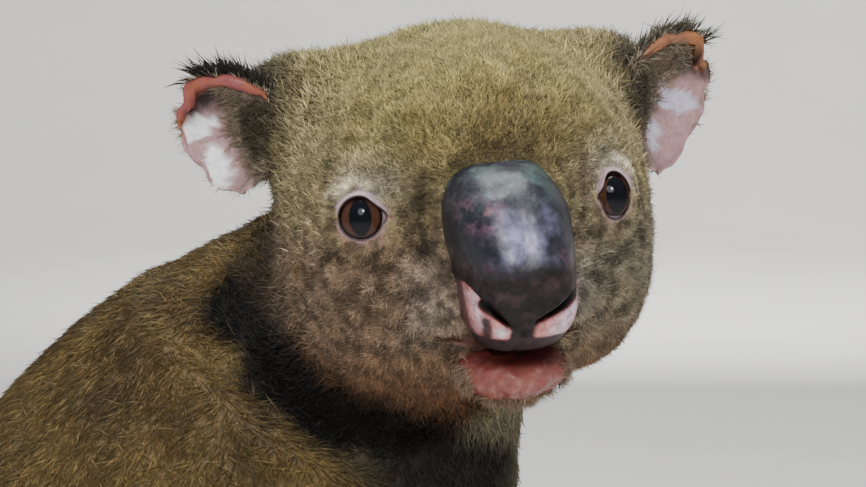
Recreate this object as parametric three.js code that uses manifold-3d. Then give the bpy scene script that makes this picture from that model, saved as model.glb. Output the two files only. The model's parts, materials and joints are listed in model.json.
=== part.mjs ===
// A koala sitting on the floor with its head turned to its right, at life size.
// Millimetres, +Z up, the animal faces -Y, and its left side is +X.
// The flesh is one smooth body made of eggs and tapering limbs that flow into each other.
// A sphere is drawn onto that body round each part's own centre, and the parts are then cut
// from each other at the joints, so that they meet face to face with a thin gap.

import * as THREE from "three";
import { mergeVertices } from "three/addons/utils/BufferGeometryUtils.js";
import Module from "manifold-3d";

const wasm = await Module();
wasm.setup();

// ---------------------------------------------------------------- driving dimensions

const CUT = 0.35; // width of the cuts between neighbouring parts
const SHARE = 5; // how far a limb's part reaches past the limb's own surface into the trunk
const SIDES = { left: 1, right: -1 };

// The head's own frame: midway between the eyes, -Y out along the face, +Z up.
const EYE_MIDPOINT = [-60, -74, 332];
const HEAD_TURN = -61; // degrees, to the animal's right
const HEAD_NOD = 2; // degrees, nose down
const HEAD_LEAN = -4.4; // degrees, left side up

const EYE_SPREAD = 34; // from the middle of the face to each eyeball's centre
const EYE_RADIUS = 9;
const EYE_DEPTH = 4; // how far the eyeball's centre lies behind the head's origin

const NOSE_TOP = 15;
const NOSE_BOTTOM = -37;
const NOSE_BACK = -4;
const NOSE_WIDTH = 37;
const NOSE_FRONT = 38; // how far the tip stands out before the head's origin

const EAR_WIDTH = 34;
const EAR_BOWL = 11; // depth of the ear's bowl
const EAR_WALL = 2.8;
const EAR_HEIGHT = { left: 46, right: 42 };
const EAR_LEVEL = { left: 21, right: 26 }; // middle of each ear above the eyes

const CLAW_LENGTH = 17;
const CLAW_RADIUS = 2.3;
const CLAW_BEND = 50; // degrees from root to tip
const CLAW_HEIGHT = 7.8; // of its root above the floor

// Digits as [heading, length, radius]: the heading is in degrees from straight ahead,
// and it is positive towards the animal's outer side.
const FINGERS = [
  [-66, 25, 6.4],
  [-38, 30, 6.6],
  [-4, 34, 7],
  [18, 34, 7],
  [42, 29, 6.4],
];
const TOES = [
  [-20, 33, 4.6],
  [-7, 34, 4.6],
  [10, 36, 7.2],
  [32, 32, 6.8],
];
const GREAT_TOE = [-74, 27, 7.6]; // it has no claw

// ---------------------------------------------------------------- fields: distance to a form

const v3 = (x, y, z) => new THREE.Vector3(x, y, z);
const degrees = THREE.MathUtils.degToRad;

// An egg: an ellipsoid about a centre, which can lean about the X axis.
function egg(centre, radii, lean = 0) {
  const back = new THREE.Quaternion().setFromAxisAngle(v3(1, 0, 0), -degrees(lean));
  const p = v3();
  const q = v3();
  return (point) => {
    p.copy(point).sub(centre).applyQuaternion(back).divide(radii);
    q.copy(p).divide(radii);
    const inside = p.length();
    return inside < 1e-6 ? -Math.min(radii.x, radii.y, radii.z) : (inside * (inside - 1)) / q.length();
  };
}

// A limb: a rod with round ends that tapers from one radius to the other.
function limb(from, to, startRadius, endRadius) {
  const axis = to.clone().sub(from);
  const p = v3();
  return (point) => {
    p.copy(point).sub(from);
    const along = THREE.MathUtils.clamp(p.dot(axis) / axis.lengthSq(), 0, 1);
    return p.addScaledVector(axis, -along).length() - THREE.MathUtils.lerp(startRadius, endRadius, along);
  };
}

// One body out of several forms, each flowing into the others over the given distance.
function flow(distance, ...forms) {
  return (point) =>
    forms.reduce((sum, form) => {
      const next = form(point);
      const overlap = Math.max(distance - Math.abs(sum - next), 0) / distance;
      return Math.min(sum, next) - (overlap * overlap * distance) / 4;
    }, Infinity);
}

const grown = (form, by) => (point) => form(point) - by;
const pair = (make) => Object.values(SIDES).map(make);

// ---------------------------------------------------------------- solids

// A sphere drawn onto a form from outside, along rays from a centre that lies in it.
// A stretch along an axis spreads the vertices evenly over a long form.
function wrap(form, centre, detail, axis = v3(0, 0, 1), stretch = 1) {
  const OUTSIDE = 400;
  const ball = new THREE.IcosahedronGeometry(1, detail);
  ball.deleteAttribute("normal");
  ball.deleteAttribute("uv");
  const geometry = mergeVertices(ball);
  const vertices = geometry.attributes.position;
  const unit = axis.clone().normalize();
  const ray = v3();
  const point = v3();
  for (let i = 0; i < vertices.count; i++) {
    ray.fromBufferAttribute(vertices, i);
    ray.addScaledVector(unit, ray.dot(unit) * (stretch - 1)).normalize();
    let reach = OUTSIDE;
    for (let step = 0; step < 200; step++) {
      const gap = form(point.copy(centre).addScaledVector(ray, reach));
      if (Math.abs(gap) < 1e-3) break;
      reach -= 0.9 * gap;
    }
    vertices.setXYZ(i, point.x, point.y, point.z);
  }
  return solid(geometry);
}

// A closed geometry as a solid that can be cut and joined.
function solid(geometry) {
  const bare = geometry.clone();
  for (const name of Object.keys(bare.attributes)) {
    if (name !== "position") bare.deleteAttribute(name);
  }
  const merged = mergeVertices(bare, 1e-4);
  return new wasm.Manifold(
    new wasm.Mesh({
      numProp: 3,
      vertProperties: new Float32Array(merged.attributes.position.array),
      triVerts: new Uint32Array(merged.index.array),
    }),
  );
}

function geometryOf(made) {
  const { vertProperties, triVerts } = made.getMesh();
  const geometry = new THREE.BufferGeometry();
  geometry.setAttribute("position", new THREE.BufferAttribute(vertProperties, 3));
  geometry.setIndex(new THREE.BufferAttribute(triVerts, 1));
  geometry.computeVertexNormals();
  return geometry;
}

// What lies ahead of a plane through a point, or behind it, at a distance from the plane.
const ahead = (made, { point, normal }, gap = CUT / 2) =>
  made.trimByPlane(normal.toArray(), point.dot(normal) + gap);
const behind = (made, { point, normal }, gap = CUT / 2) =>
  made.trimByPlane(normal.clone().negate().toArray(), -point.dot(normal) + gap);
const plane = (point, normal) => ({ point, normal: normal.clone().normalize() });
const onFloor = (made) => made.trimByPlane([0, 0, 1], 0);
const without = (made, ...others) => others.reduce((left, other) => left.subtract(other), made);

// ---------------------------------------------------------------- materials and nodes

const finish = (color, roughness) => new THREE.MeshStandardMaterial({ color, roughness, metalness: 0 });
const FUR_BACK = finish(0x5c4b30, 0.95);
const FUR_FACE = finish(0x786a50, 0.95);
const FUR_CHEST = finish(0x857b68, 0.95);
const NOSE_SKIN = finish(0x3a3439, 0.35);
const LIP_SKIN = finish(0x8c5850, 0.5);
const EAR_SKIN = finish(0x8a6a62, 0.7);
const EYE_GLASS = finish(0x2a1a14, 0.05);
const HORN = finish(0x2b2622, 0.4);

const koala = new THREE.Group();

function addNode(parent, name, made, material) {
  const mesh = new THREE.Mesh(geometryOf(made), material);
  mesh.name = name;
  parent.add(mesh);
  return mesh;
}

// ---------------------------------------------------------------- the body's forms

// Trunk: an upright hunch, rump on the floor.
const chest = egg(v3(0, 14, 238), v3(66, 66, 84), 20);
const back = egg(v3(0, 52, 192), v3(90, 91, 122), 31);
const rump = egg(v3(0, 80, 84), v3(86, 82, 87));

// Neck: from between the shoulders up to the back of the skull.
const NECK_BASE = v3(0, -8, 268);
const NECK_TOP = v3(-6, -36, 306);
const neck = limb(NECK_BASE, NECK_TOP, 50, 40);

// Arms: planted in front of the knees.
const arms = pair((side) => {
  const shoulder = v3(54 * side, 2, 222);
  const elbow = v3(72 * side, -38, 136);
  const wrist = v3(54 * side, -90, 36);
  return {
    shoulder,
    elbow,
    wrist,
    palm: v3(52 * side, -106, 11),
    upper: limb(shoulder, elbow, 34, 28),
    lower: limb(elbow, wrist, 27, 19),
  };
});

// Legs: knees out beside the belly, soles on the floor.
const legs = pair((side) => {
  const hip = v3(58 * side, 92, 82);
  const knee = v3(100 * side, 24, 98);
  const ankle = v3(90 * side, 50, 32);
  return {
    hip,
    knee,
    ankle,
    heel: v3(86 * side, 60, 12),
    ball: v3(98 * side, 4, 10),
    thigh: limb(hip, knee, 50, 37),
    shin: limb(knee, ankle, 33, 23),
  };
});

// ---------------------------------------------------------------- head

const head = new THREE.Group();
head.position.set(...EYE_MIDPOINT);
head.rotation.set(degrees(HEAD_NOD), degrees(HEAD_LEAN), degrees(HEAD_TURN), "ZXY");
head.updateMatrixWorld(true);
koala.add(head);

const inHead = (form) => {
  const world = v3();
  return (point) => form(head.localToWorld(world.copy(point)));
};
const inWorld = (form) => {
  const local = v3();
  return (point) => form(head.worldToLocal(local.copy(point)));
};

const skull = flow(
  16,
  egg(v3(0, 46, 9), v3(50, 50, 42)), // brain case
  egg(v3(0, 12, 18), v3(34, 25, 27)), // brow
  egg(v3(0, 2, -14), v3(25, 21, 25)), // muzzle
  egg(v3(0, 16, -35), v3(33, 28, 18)), // lower jaw
  ...pair((side) => egg(v3(30 * side, 38, -15), v3(25, 38, 40))), // cheeks
  ...pair((side) => egg(v3(46 * side, 58, 28), v3(20, 13, 19))), // ear roots
);
const HEAD_CENTRE = v3(0, 38, 0);
const nape = plane(v3(0, 62, -28), v3(0, 0.78, -0.62)); // between the head and the neck
const worldNape = plane(
  head.localToWorld(nape.point.clone()),
  nape.normal.clone().applyQuaternion(head.quaternion),
);

// Nose: one bare leathery shield from between the eyes down to the mouth. A sphere's rings
// are spread from its lower edge to its upper one, each with a width and a front of its own.
const curve = (...points) => new THREE.SplineCurve(points.map(([up, size]) => new THREE.Vector2(up, size)));
const noseWidth = curve([0, 0.72], [0.2, 0.88], [0.42, 0.85], [0.7, 1], [0.88, 0.94], [1, 0.76]);
const noseFront = curve([0, 0.82], [0.2, 0.98], [0.42, 1], [0.7, 0.88], [0.88, 0.76], [1, 0.64]);
function noseSolid(grow) {
  const SQUARENESS = 0.7;
  const shape = new THREE.SphereGeometry(1, 16, 10);
  const vertices = shape.attributes.position;
  const p = v3();
  for (let i = 0; i < vertices.count; i++) {
    p.fromBufferAttribute(vertices, i);
    const up = THREE.MathUtils.clamp((p.y + 1) / 2, 0, 1);
    const rim = Math.pow(Math.hypot(p.x, p.z), 0.4);
    const angle = Math.atan2(p.x, p.z);
    const squared = (value) => Math.sign(value) * Math.pow(Math.abs(value), SQUARENESS) * rim;
    const width = (NOSE_WIDTH / 2) * noseWidth.getPoint(up).y + grow;
    const front = NOSE_FRONT * noseFront.getPoint(up).y + grow;
    const ahead = squared(Math.cos(angle));
    vertices.setXYZ(
      i,
      width * squared(Math.sin(angle)),
      NOSE_BACK - ahead * (ahead > 0 ? front + NOSE_BACK : grow + 6),
      THREE.MathUtils.lerp(NOSE_BOTTOM - grow, NOSE_TOP + grow, up),
    );
  }
  return solid(shape);
}

// Lower lip: a bare chin under the nose.
const LIP_CENTRE = v3(0, -13, -43);
const lip = egg(LIP_CENTRE, v3(15, 13, 8), 14);

const wholeHead = flow(22, skull, inHead(neck));
{
  let flesh = behind(wrap(wholeHead, HEAD_CENTRE, 6), nape);
  flesh = without(flesh, noseSolid(CUT), wrap(grown(lip, CUT), LIP_CENTRE, 2));
  addNode(head, "nose", noseSolid(0), NOSE_SKIN);
  addNode(head, "lower_lip", wrap(lip, LIP_CENTRE, 2).subtract(noseSolid(CUT)), LIP_SKIN);

  for (const [name, side] of Object.entries(SIDES)) {
    const eyeball = (radius) => solid(new THREE.SphereGeometry(radius, 10, 6));
    const place = v3(EYE_SPREAD * side, EYE_DEPTH, 0);
    addNode(head, `eye_${name}`, eyeball(EYE_RADIUS), EYE_GLASS).position.copy(place);
    flesh = flesh.subtract(eyeball(EYE_RADIUS + CUT).translate(place.toArray()));

    // Ear: a bowl that opens forwards and outwards, standing on the side of the head.
    const ear = new THREE.Object3D();
    ear.position.set(67 * side, 54, EAR_LEVEL[name]);
    ear.rotation.set(degrees(4), degrees(14 * side), degrees(26 * side), "ZXY");
    ear.updateMatrix();
    const shell = (less) =>
      solid(
        new THREE.SphereGeometry(1, 11, 7).scale(
          EAR_WIDTH / 2 - less,
          EAR_BOWL - less,
          EAR_HEIGHT[name] / 2 - less,
        ),
      );
    const bowl = behind(
      shell(0).subtract(shell(EAR_WALL).translate([0, -EAR_WALL, 0])),
      plane(v3(0, -EAR_BOWL * 0.2, 0), v3(0, -1, 0)),
    );
    addNode(
      head,
      `ear_${name}`,
      bowl.transform(ear.matrix.elements).subtract(wrap(grown(skull, CUT), HEAD_CENTRE, 6)),
      EAR_SKIN,
    );
  }
  addNode(head, "head", flesh, FUR_FACE);
}
const headRoom = behind(wrap(grown(inWorld(wholeHead), CUT), head.localToWorld(HEAD_CENTRE.clone()), 4), worldNape, -CUT / 2);

// ---------------------------------------------------------------- limb roots

// The room that a limb takes up in the trunk: its own form, grown a little.
function armRoom({ shoulder, elbow, wrist, upper, lower }, by) {
  return wrap(grown(flow(24, upper, lower), by), elbow, 3, wrist.clone().sub(shoulder), 2);
}
function legRoom({ hip, knee, ankle, thigh, shin }, by) {
  const middle = hip.clone().add(knee).add(ankle).divideScalar(3).lerp(hip, 0.3);
  return wrap(grown(flow(12, thigh, shin), by), middle, 2);
}
const roomForLimbs = [
  ...arms.map((arm) => armRoom(arm, SHARE + CUT)),
  ...legs.map((leg) => legRoom(leg, SHARE + CUT)),
];

// ---------------------------------------------------------------- neck and trunk

const collar = plane(v3(0, -8, 270), v3(0, 0.5, -0.86)); // between the neck and the chest
const waist = plane(v3(0, 50, 168), v3(0, 0.3, -1)); // between the chest and the rump
{
  const form = flow(26, chest, back, neck, inWorld(skull));
  const flesh = wrap(form, NECK_BASE.clone().lerp(NECK_TOP, 0.5), 4);
  addNode(koala, "neck", without(behind(ahead(flesh, worldNape), collar), ...roomForLimbs), FUR_BACK);
}
{
  const limbs = [...arms.map(({ upper }) => upper), ...legs.map(({ thigh }) => thigh)];
  const form = flow(32, chest, back, rump, neck, ...limbs);
  let flesh = onFloor(wrap(form, v3(0, 52, 160), 5, v3(0, -0.4, 1), 1.2));
  flesh = without(ahead(flesh, collar), headRoom, ...roomForLimbs);
  addNode(koala, "chest", behind(flesh, waist), FUR_CHEST);
  addNode(koala, "rump", ahead(flesh, waist), FUR_BACK);
}

// ---------------------------------------------------------------- hands, feet and claws

// Turns a shape that points along +Y towards a heading, and moves it to a place.
function aimed(geometry, place, heading, side) {
  return geometry.rotateZ(Math.PI + side * degrees(heading)).translate(place.x, place.y, place.z);
}

// A digit: a rod from inside the palm or sole, with a rounded tip that ends flat.
function digit(length, radius) {
  const RINGS = 2;
  const shape = new THREE.CylinderGeometry(radius, radius * 1.15, length, 6, RINGS);
  const vertices = shape.attributes.position;
  for (let i = 0; i < vertices.count; i++) {
    const along = vertices.getY(i) / length + 0.5;
    const tip = along > 0.99 ? 0.6 : 1;
    const flat = along > 0.01 && vertices.getZ(i) < 0 ? 0.85 : 1;
    vertices.setXYZ(i, vertices.getX(i) * tip, vertices.getY(i), vertices.getZ(i) * tip * flat);
  }
  return shape.translate(0, length / 2, 0);
}

// A claw: a cone that bends towards the floor.
function claw(length, radius) {
  const shape = new THREE.ConeGeometry(radius, length, 5, 2).translate(0, length / 2, 0);
  const vertices = shape.attributes.position;
  const bend = degrees(CLAW_BEND);
  for (let i = 0; i < vertices.count; i++) {
    const turn = (vertices.getY(i) / length) * bend;
    const out = length / bend + vertices.getZ(i) * 1.3;
    vertices.setXYZ(i, vertices.getX(i), Math.sin(turn) * out, Math.cos(turn) * out - length / bend);
  }
  return shape;
}

// Adds digits to a paw, and gives the claws that stand at their tips.
function withDigits(paw, base, digits, side) {
  const claws = [];
  for (const [heading, length, radius] of digits) {
    const root = v3(base.x, base.y, radius * 0.85 + 0.2);
    paw = paw.add(solid(aimed(digit(length, radius), root, heading, side)));
    const reach = v3(0, length + CUT, 0).applyAxisAngle(v3(0, 0, 1), Math.PI + side * degrees(heading));
    const size = radius < 5 ? 0.6 : 1;
    const tip = root.clone().add(reach);
    tip.z = size * CLAW_HEIGHT;
    claws.push(solid(aimed(claw(CLAW_LENGTH * size, CLAW_RADIUS * size), tip, heading, side)));
  }
  return { paw: onFloor(paw), claws };
}

Object.entries(SIDES).forEach(([name, side], index) => {
  const arm = arms[index];
  const elbowPlane = plane(arm.elbow, arm.wrist.clone().sub(arm.shoulder));
  const wristPlane = plane(arm.wrist, arm.wrist.clone().sub(arm.elbow));
  const palm = egg(arm.palm, v3(19, 22, 15));
  const armForm = flow(24, arm.upper, arm.lower);

  let upper = wrap(flow(32, chest, back, neck, armForm), arm.shoulder.clone().lerp(arm.elbow, 0.4), 3, elbowPlane.normal, 1.4);
  upper = behind(upper.intersect(armRoom(arm, SHARE)), elbowPlane).subtract(headRoom);
  addNode(koala, `upper_arm_${name}`, upper, FUR_BACK);

  const middle = arm.elbow.clone().lerp(arm.wrist, 0.5);
  let forearm = wrap(flow(16, armForm, palm), middle, 2, wristPlane.normal, 1.9);
  forearm = behind(ahead(forearm, elbowPlane), wristPlane);
  addNode(koala, `forearm_${name}`, forearm, FUR_BACK);

  const bareHand = ahead(wrap(flow(16, armForm, palm), arm.palm.clone().lerp(arm.wrist, 0.3), 2), wristPlane);
  const hand = withDigits(bareHand, arm.palm, FINGERS, side);
  addNode(koala, `hand_${name}`, hand.paw, FUR_BACK);
  hand.claws.forEach((made, i) => addNode(koala, `hand_claw_${name}_${i + 1}`, made, HORN));

  const leg = legs[index];
  const kneePlane = plane(leg.knee, leg.ankle.clone().sub(leg.hip));
  const anklePlane = plane(leg.ankle, v3(0, 0, -1));
  const heel = egg(leg.heel, v3(17, 20, 15));
  const ball = egg(leg.ball, v3(21, 30, 14));
  const legForm = flow(20, leg.thigh, leg.shin);
  const room = legRoom(leg, SHARE);

  let thigh = onFloor(wrap(flow(32, back, rump, legForm), leg.hip.clone().lerp(leg.knee, 0.4), 3));
  thigh = behind(thigh.intersect(room), kneePlane);
  addNode(koala, `thigh_${name}`, thigh, FUR_BACK);

  let shin = wrap(legForm, leg.knee.clone().lerp(leg.ankle, 0.6), 2);
  shin = behind(ahead(shin, kneePlane), anklePlane);
  addNode(koala, `shin_${name}`, shin, FUR_BACK);

  const sole = leg.heel.clone().lerp(leg.ball, 0.5);
  const bareFoot = ahead(wrap(flow(14, leg.shin, heel, ball), sole, 2), anklePlane);
  const clawed = withDigits(bareFoot, leg.ball.clone().setY(leg.ball.y - 10), TOES, side);
  const whole = withDigits(clawed.paw, leg.ball, [GREAT_TOE], side);
  addNode(koala, `foot_${name}`, whole.paw, FUR_BACK);
  clawed.claws.forEach((made, i) => addNode(koala, `foot_claw_${name}_${i + 2}`, made, HORN));
});

// ---------------------------------------------------------------- origin: under the middle of the box

const box = new THREE.Box3().setFromObject(koala, true);
koala.position.set(-(box.min.x + box.max.x) / 2, -(box.min.y + box.max.y) / 2, -box.min.z);

export default koala;
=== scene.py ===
# %% [markdown]
# # A koala at life size
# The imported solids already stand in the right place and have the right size. This lesson gives
# them a living surface: one skin over all the flesh, moist eyes, a leathery nose, a bare chin,
# thin ears with swollen rims, horn claws, and a short woolly coat of solid tufts.
# The solids say where the large forms stand, so only the small ones are placed in this lesson.

import json
import math

import bmesh
import bpy
import numpy as np
from mathutils import Matrix, Vector, noise
from mathutils.kdtree import KDTree

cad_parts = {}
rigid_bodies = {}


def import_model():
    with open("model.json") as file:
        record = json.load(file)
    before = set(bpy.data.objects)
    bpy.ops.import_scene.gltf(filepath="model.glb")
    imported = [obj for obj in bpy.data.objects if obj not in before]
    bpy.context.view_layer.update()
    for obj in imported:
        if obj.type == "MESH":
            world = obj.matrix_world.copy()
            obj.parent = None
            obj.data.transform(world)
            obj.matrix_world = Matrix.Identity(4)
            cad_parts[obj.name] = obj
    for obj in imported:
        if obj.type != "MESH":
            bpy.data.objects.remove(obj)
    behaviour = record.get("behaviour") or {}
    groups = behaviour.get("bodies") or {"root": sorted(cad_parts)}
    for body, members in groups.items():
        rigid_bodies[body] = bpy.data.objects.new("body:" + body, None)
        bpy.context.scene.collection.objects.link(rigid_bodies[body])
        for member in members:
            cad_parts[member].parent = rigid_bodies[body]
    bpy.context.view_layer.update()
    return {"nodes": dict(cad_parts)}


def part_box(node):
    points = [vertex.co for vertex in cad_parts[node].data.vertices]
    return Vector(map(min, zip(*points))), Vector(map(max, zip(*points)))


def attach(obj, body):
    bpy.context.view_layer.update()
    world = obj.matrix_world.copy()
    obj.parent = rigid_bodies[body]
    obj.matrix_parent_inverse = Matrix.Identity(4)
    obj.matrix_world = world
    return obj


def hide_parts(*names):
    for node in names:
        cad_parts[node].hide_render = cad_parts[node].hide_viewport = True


for leftover in list(bpy.data.objects):  # the cube, lamp and camera of Blender's starting scene
    bpy.data.objects.remove(leftover)
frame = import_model()
nodes = frame["nodes"]

# %% [markdown]
# ## The head's own directions
# The koala sits facing -Y and looks over its right shoulder. A face is far easier to shape with
# axes that turn with it, so this cell makes a frame for the head: its origin is between the
# eyes, -Y points out along the face, +X to the animal's left and +Z to the crown. Distances in
# it are millimetres. The eyes' own nodes say where it is, and three angles say how it is turned.

# %% The head's frame
MM = 0.001
SIDES = {"left": 1, "right": -1}
HEAD_TURN = -61  # degrees, to the animal's right
HEAD_NOD = 2  # degrees, nose down
HEAD_LEAN = -4.4  # degrees, left side up
EYE_DEPTH = 4  # how far the eyeballs' centres lie behind the frame's origin


def middle(node):
    low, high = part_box(node)
    return (low + high) / 2


between_eyes = (middle("eye_left") + middle("eye_right")) / 2
head_turn = (
    Matrix.Rotation(math.radians(HEAD_TURN), 3, "Z")
    @ Matrix.Rotation(math.radians(HEAD_NOD), 3, "X")
    @ Matrix.Rotation(math.radians(HEAD_LEAN), 3, "Y")
)
HEAD_AXES = np.array(head_turn)
HEAD_ORIGIN = np.array(between_eyes - head_turn @ Vector((0, EYE_DEPTH * MM, 0)))


def to_head(points):
    return (np.asarray(points, float) - HEAD_ORIGIN) @ HEAD_AXES / MM


def from_head(points):
    return HEAD_ORIGIN + np.asarray(points, float) * MM @ HEAD_AXES.T


EYES = {side: to_head(middle(f"eye_{side}")) for side in SIDES}
print("eyeballs' centres in the head's frame:", {side: c.round(1).tolist() for side, c in EYES.items()})

# %% [markdown]
# ## The camera
# It stands close to the face, a little above it, and sees it nearly from the front.
# A short distance with a long lens keeps the nose large against the ears, as in a portrait.

# %% The camera
VIEW_HEADING = 70  # degrees from +Y towards +X
VIEW_DIP = 6  # degrees below the horizon
VIEW_DISTANCE = 0.45
VIEW_ASIDE = -0.01473  # from between the eyes to the line of sight, to the right
VIEW_ABOVE = -0.00995  # and upwards
LENS = 68.6

heading, dip = math.radians(VIEW_HEADING), math.radians(VIEW_DIP)
look = Vector((math.sin(heading) * math.cos(dip), math.cos(heading) * math.cos(dip), -math.sin(dip)))
right = look.cross(Vector((0, 0, 1))).normalized()
above = right.cross(look)
camera = bpy.data.objects.new("camera", bpy.data.cameras.new("camera"))
camera.location = between_eyes - look * VIEW_DISTANCE + right * VIEW_ASIDE + above * VIEW_ABOVE
camera.rotation_mode = "QUATERNION"
camera.rotation_quaternion = look.to_track_quat("-Z", "Y")
camera.data.lens = LENS
camera.data.clip_start = 0.01
bpy.context.scene.collection.objects.link(camera)
bpy.context.scene.camera = camera
print("camera at", [round(c, 3) for c in camera.location])

# %% [markdown]
# ## Shader sums in plain Python
# A material is a graph of nodes, and its sums are easier to read as sums. `Wire` wraps one
# socket, and `+ - * /` on wires add Math nodes. `Bench` holds one material: `add` makes any
# other node from its type, its settings and its inputs, and gives its output as a wire.


# %% A bench for materials
class Wire:
    """One output of a material's node tree, on which sums can be written."""

    def __init__(self, bench, socket):
        self.bench = bench
        self.socket = socket

    def sum_of(self, operation, *terms):
        return self.bench.add("ShaderNodeMath", {"operation": operation}, dict(enumerate(terms)))

    def __add__(self, other):
        return self.sum_of("ADD", self, other)

    def __sub__(self, other):
        return self.sum_of("SUBTRACT", self, other)

    def __rsub__(self, other):
        return self.sum_of("SUBTRACT", other, self)

    def __mul__(self, other):
        return self.sum_of("MULTIPLY", self, other)

    def __truediv__(self, other):
        return self.sum_of("DIVIDE", self, other)

    __radd__ = __add__
    __rmul__ = __mul__

    def raised(self, power):
        return self.sum_of("POWER", self, power)

    def between(self, low, high, low_value=0.0, high_value=1.0):
        """Runs smoothly from one value to another while this wire runs from low to high."""
        settings = {"interpolation_type": "SMOOTHSTEP"}
        ends = {"From Min": low, "From Max": high, "To Min": low_value, "To Max": high_value}
        return self.bench.add("ShaderNodeMapRange", settings, {"Value": self, **ends}, "Result")


class Bench:
    """One material, with a Principled shader whose constants are set directly."""

    def __init__(self, name, **constants):
        self.material = bpy.data.materials.new(name)
        self.material.use_nodes = True
        self.tree = self.material.node_tree
        self.shader = self.tree.nodes["Principled BSDF"]
        for key, value in constants.items():
            self.shader.inputs[key.replace("_", " ").title()].default_value = value

    def add(self, kind, settings=None, inputs=None, output=0):
        node = self.tree.nodes.new(kind)
        for key, value in (settings or {}).items():
            setattr(node, key, value)
        for key, value in (inputs or {}).items():
            self.feed(node.inputs[key], value)
        return Wire(self, node.outputs[output])

    def feed(self, socket, value):
        if isinstance(value, Wire):
            self.tree.links.new(value.socket, socket)
        else:
            socket.default_value = value

    def place(self):
        return self.add("ShaderNodeTexCoord", output="Object")

    def own(self, attribute, output="Color"):
        return self.add("ShaderNodeAttribute", {"attribute_name": attribute}, output=output)

    def noise(self, size_mm, detail=2.0, roughness=0.5, distortion=0.0):
        inputs = {
            "Vector": self.place(),
            "Scale": 1 / (size_mm * MM),
            "Detail": detail,
            "Roughness": roughness,
            "Distortion": distortion,
        }
        return self.add("ShaderNodeTexNoise", {"noise_dimensions": "3D"}, inputs, "Fac")

    def mix(self, amount, first, second, blend="MIX"):
        settings = {"data_type": "RGBA", "blend_type": blend}
        node = self.add("ShaderNodeMix", settings, {0: amount}, 2).socket.node
        self.feed(node.inputs[6], first)
        self.feed(node.inputs[7], second)
        return Wire(self, node.outputs[2])

    def shaded(self, colour, shade):
        """A colour made lighter or darker by a number."""
        grey = self.add("ShaderNodeCombineXYZ", None, {"X": shade, "Y": shade, "Z": shade})
        return self.mix(1.0, colour, grey, "MULTIPLY")

    def bump(self, height, distance_mm, strength=1.0):
        inputs = {"Height": height, "Distance": distance_mm * MM, "Strength": strength}
        return self.add("ShaderNodeBump", None, inputs)

    def finish(self, **inputs):
        for key, value in inputs.items():
            self.feed(self.shader.inputs[key.replace("_", " ").title()], value)
        return self.material


def srgb(red, green, blue):
    """A colour as it is picked on a screen, 0 to 255, turned into light amounts."""
    screen = np.array([red, green, blue]) / 255
    return np.where(screen <= 0.04045, screen / 12.92, ((screen + 0.055) / 1.055) ** 2.4)


def rgba(colour):
    return (*[float(c) for c in colour], 1.0)


# %% [markdown]
# ## Floor and light
# The stand-in for a studio is a wide pale floor that curves up into a wall all the way round,
# so that no edge shows behind the animal from any side. A large lamp overhead models the form
# and leaves the throat in shade, as indoors. A weaker one beside the camera, like a window, gives
# the bridge of the nose its glow, and a small one over it puts the sparks in the eyes. The last
# lamp is turned away from the animal, to keep the wall behind it bright.

# %% The floor
FLOOR_RADIUS = 3.0
WALL_RADIUS = 4.5
WALL_HEIGHT = 3.5
PALE = srgb(236, 234, 230)


def floor_finish():
    paint = Bench("pale_floor", roughness=0.85)
    shade = paint.noise(260, 3).between(0.3, 0.7, 0.97, 1.0)
    return paint.finish(base_color=paint.shaded(rgba(PALE), shade))


def studio():
    """Half a cross-section of floor, bend and wall, spun round the middle."""
    built = bmesh.new()
    bend = WALL_RADIUS - FLOOR_RADIUS
    line = [(0, 0), (FLOOR_RADIUS, 0)]
    for step in range(1, 13):
        turn = math.radians(90 * step / 12)
        line.append((FLOOR_RADIUS + bend * math.sin(turn), bend * (1 - math.cos(turn))))
    line.append((WALL_RADIUS, WALL_HEIGHT))
    corners = [built.verts.new((x, 0, z)) for x, z in line]
    edges = [built.edges.new(pair) for pair in zip(corners, corners[1:])]
    bmesh.ops.spin(
        built, geom=corners + edges, cent=(0, 0, 0), axis=(0, 0, 1), angle=math.tau, steps=96, use_merge=True
    )
    bmesh.ops.remove_doubles(built, verts=built.verts, dist=1e-5)
    bmesh.ops.recalc_face_normals(built, faces=built.faces)
    mesh = bpy.data.meshes.new("studio_floor")
    built.to_mesh(mesh)
    built.free()
    mesh.shade_smooth()
    mesh.materials.append(floor_finish())
    return bpy.data.objects.new("studio_floor", mesh)


floor = studio()
bpy.context.scene.collection.objects.link(floor)
print("floor radius", FLOOR_RADIUS, "m")

# %% The light
SKY = srgb(232, 236, 242)
SKY_STRENGTH = 0.7
LAMPS = {  # watts, width, and place from the eyes: right, above and towards the camera
    "ceiling": (24.0, 0.8, (-0.10, 1.2, -0.08)),
    "window": (6.5, 0.65, (-0.10, 0.58, 1.0)),
    "spark": (2.0, 0.09, (0.03, 0.34, 0.50)),
    "backdrop": (60.0, 2.0, (0.4, 1.2, -1.6)),  # turned away, to light the wall behind
}

world = bpy.data.worlds.new("soft_sky")
world.use_nodes = True
world.node_tree.nodes["Background"].inputs["Color"].default_value = rgba(SKY)
world.node_tree.nodes["Background"].inputs["Strength"].default_value = SKY_STRENGTH
bpy.context.scene.world = world
for name, (watts, size, (aside, up, towards)) in LAMPS.items():
    lamp = bpy.data.lights.new(name, "AREA")
    lamp.energy = watts
    lamp.shape = "DISK"
    lamp.size = size
    holder = bpy.data.objects.new(name, lamp)
    holder.location = between_eyes + right * aside + Vector((0, 0, up)) - look * towards
    holder.rotation_mode = "QUATERNION"
    aim = look if name == "backdrop" else between_eyes - holder.location
    holder.rotation_quaternion = aim.to_track_quat("-Z", "Y")
    bpy.context.scene.collection.objects.link(holder)
print("lamps:", list(LAMPS))

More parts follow.
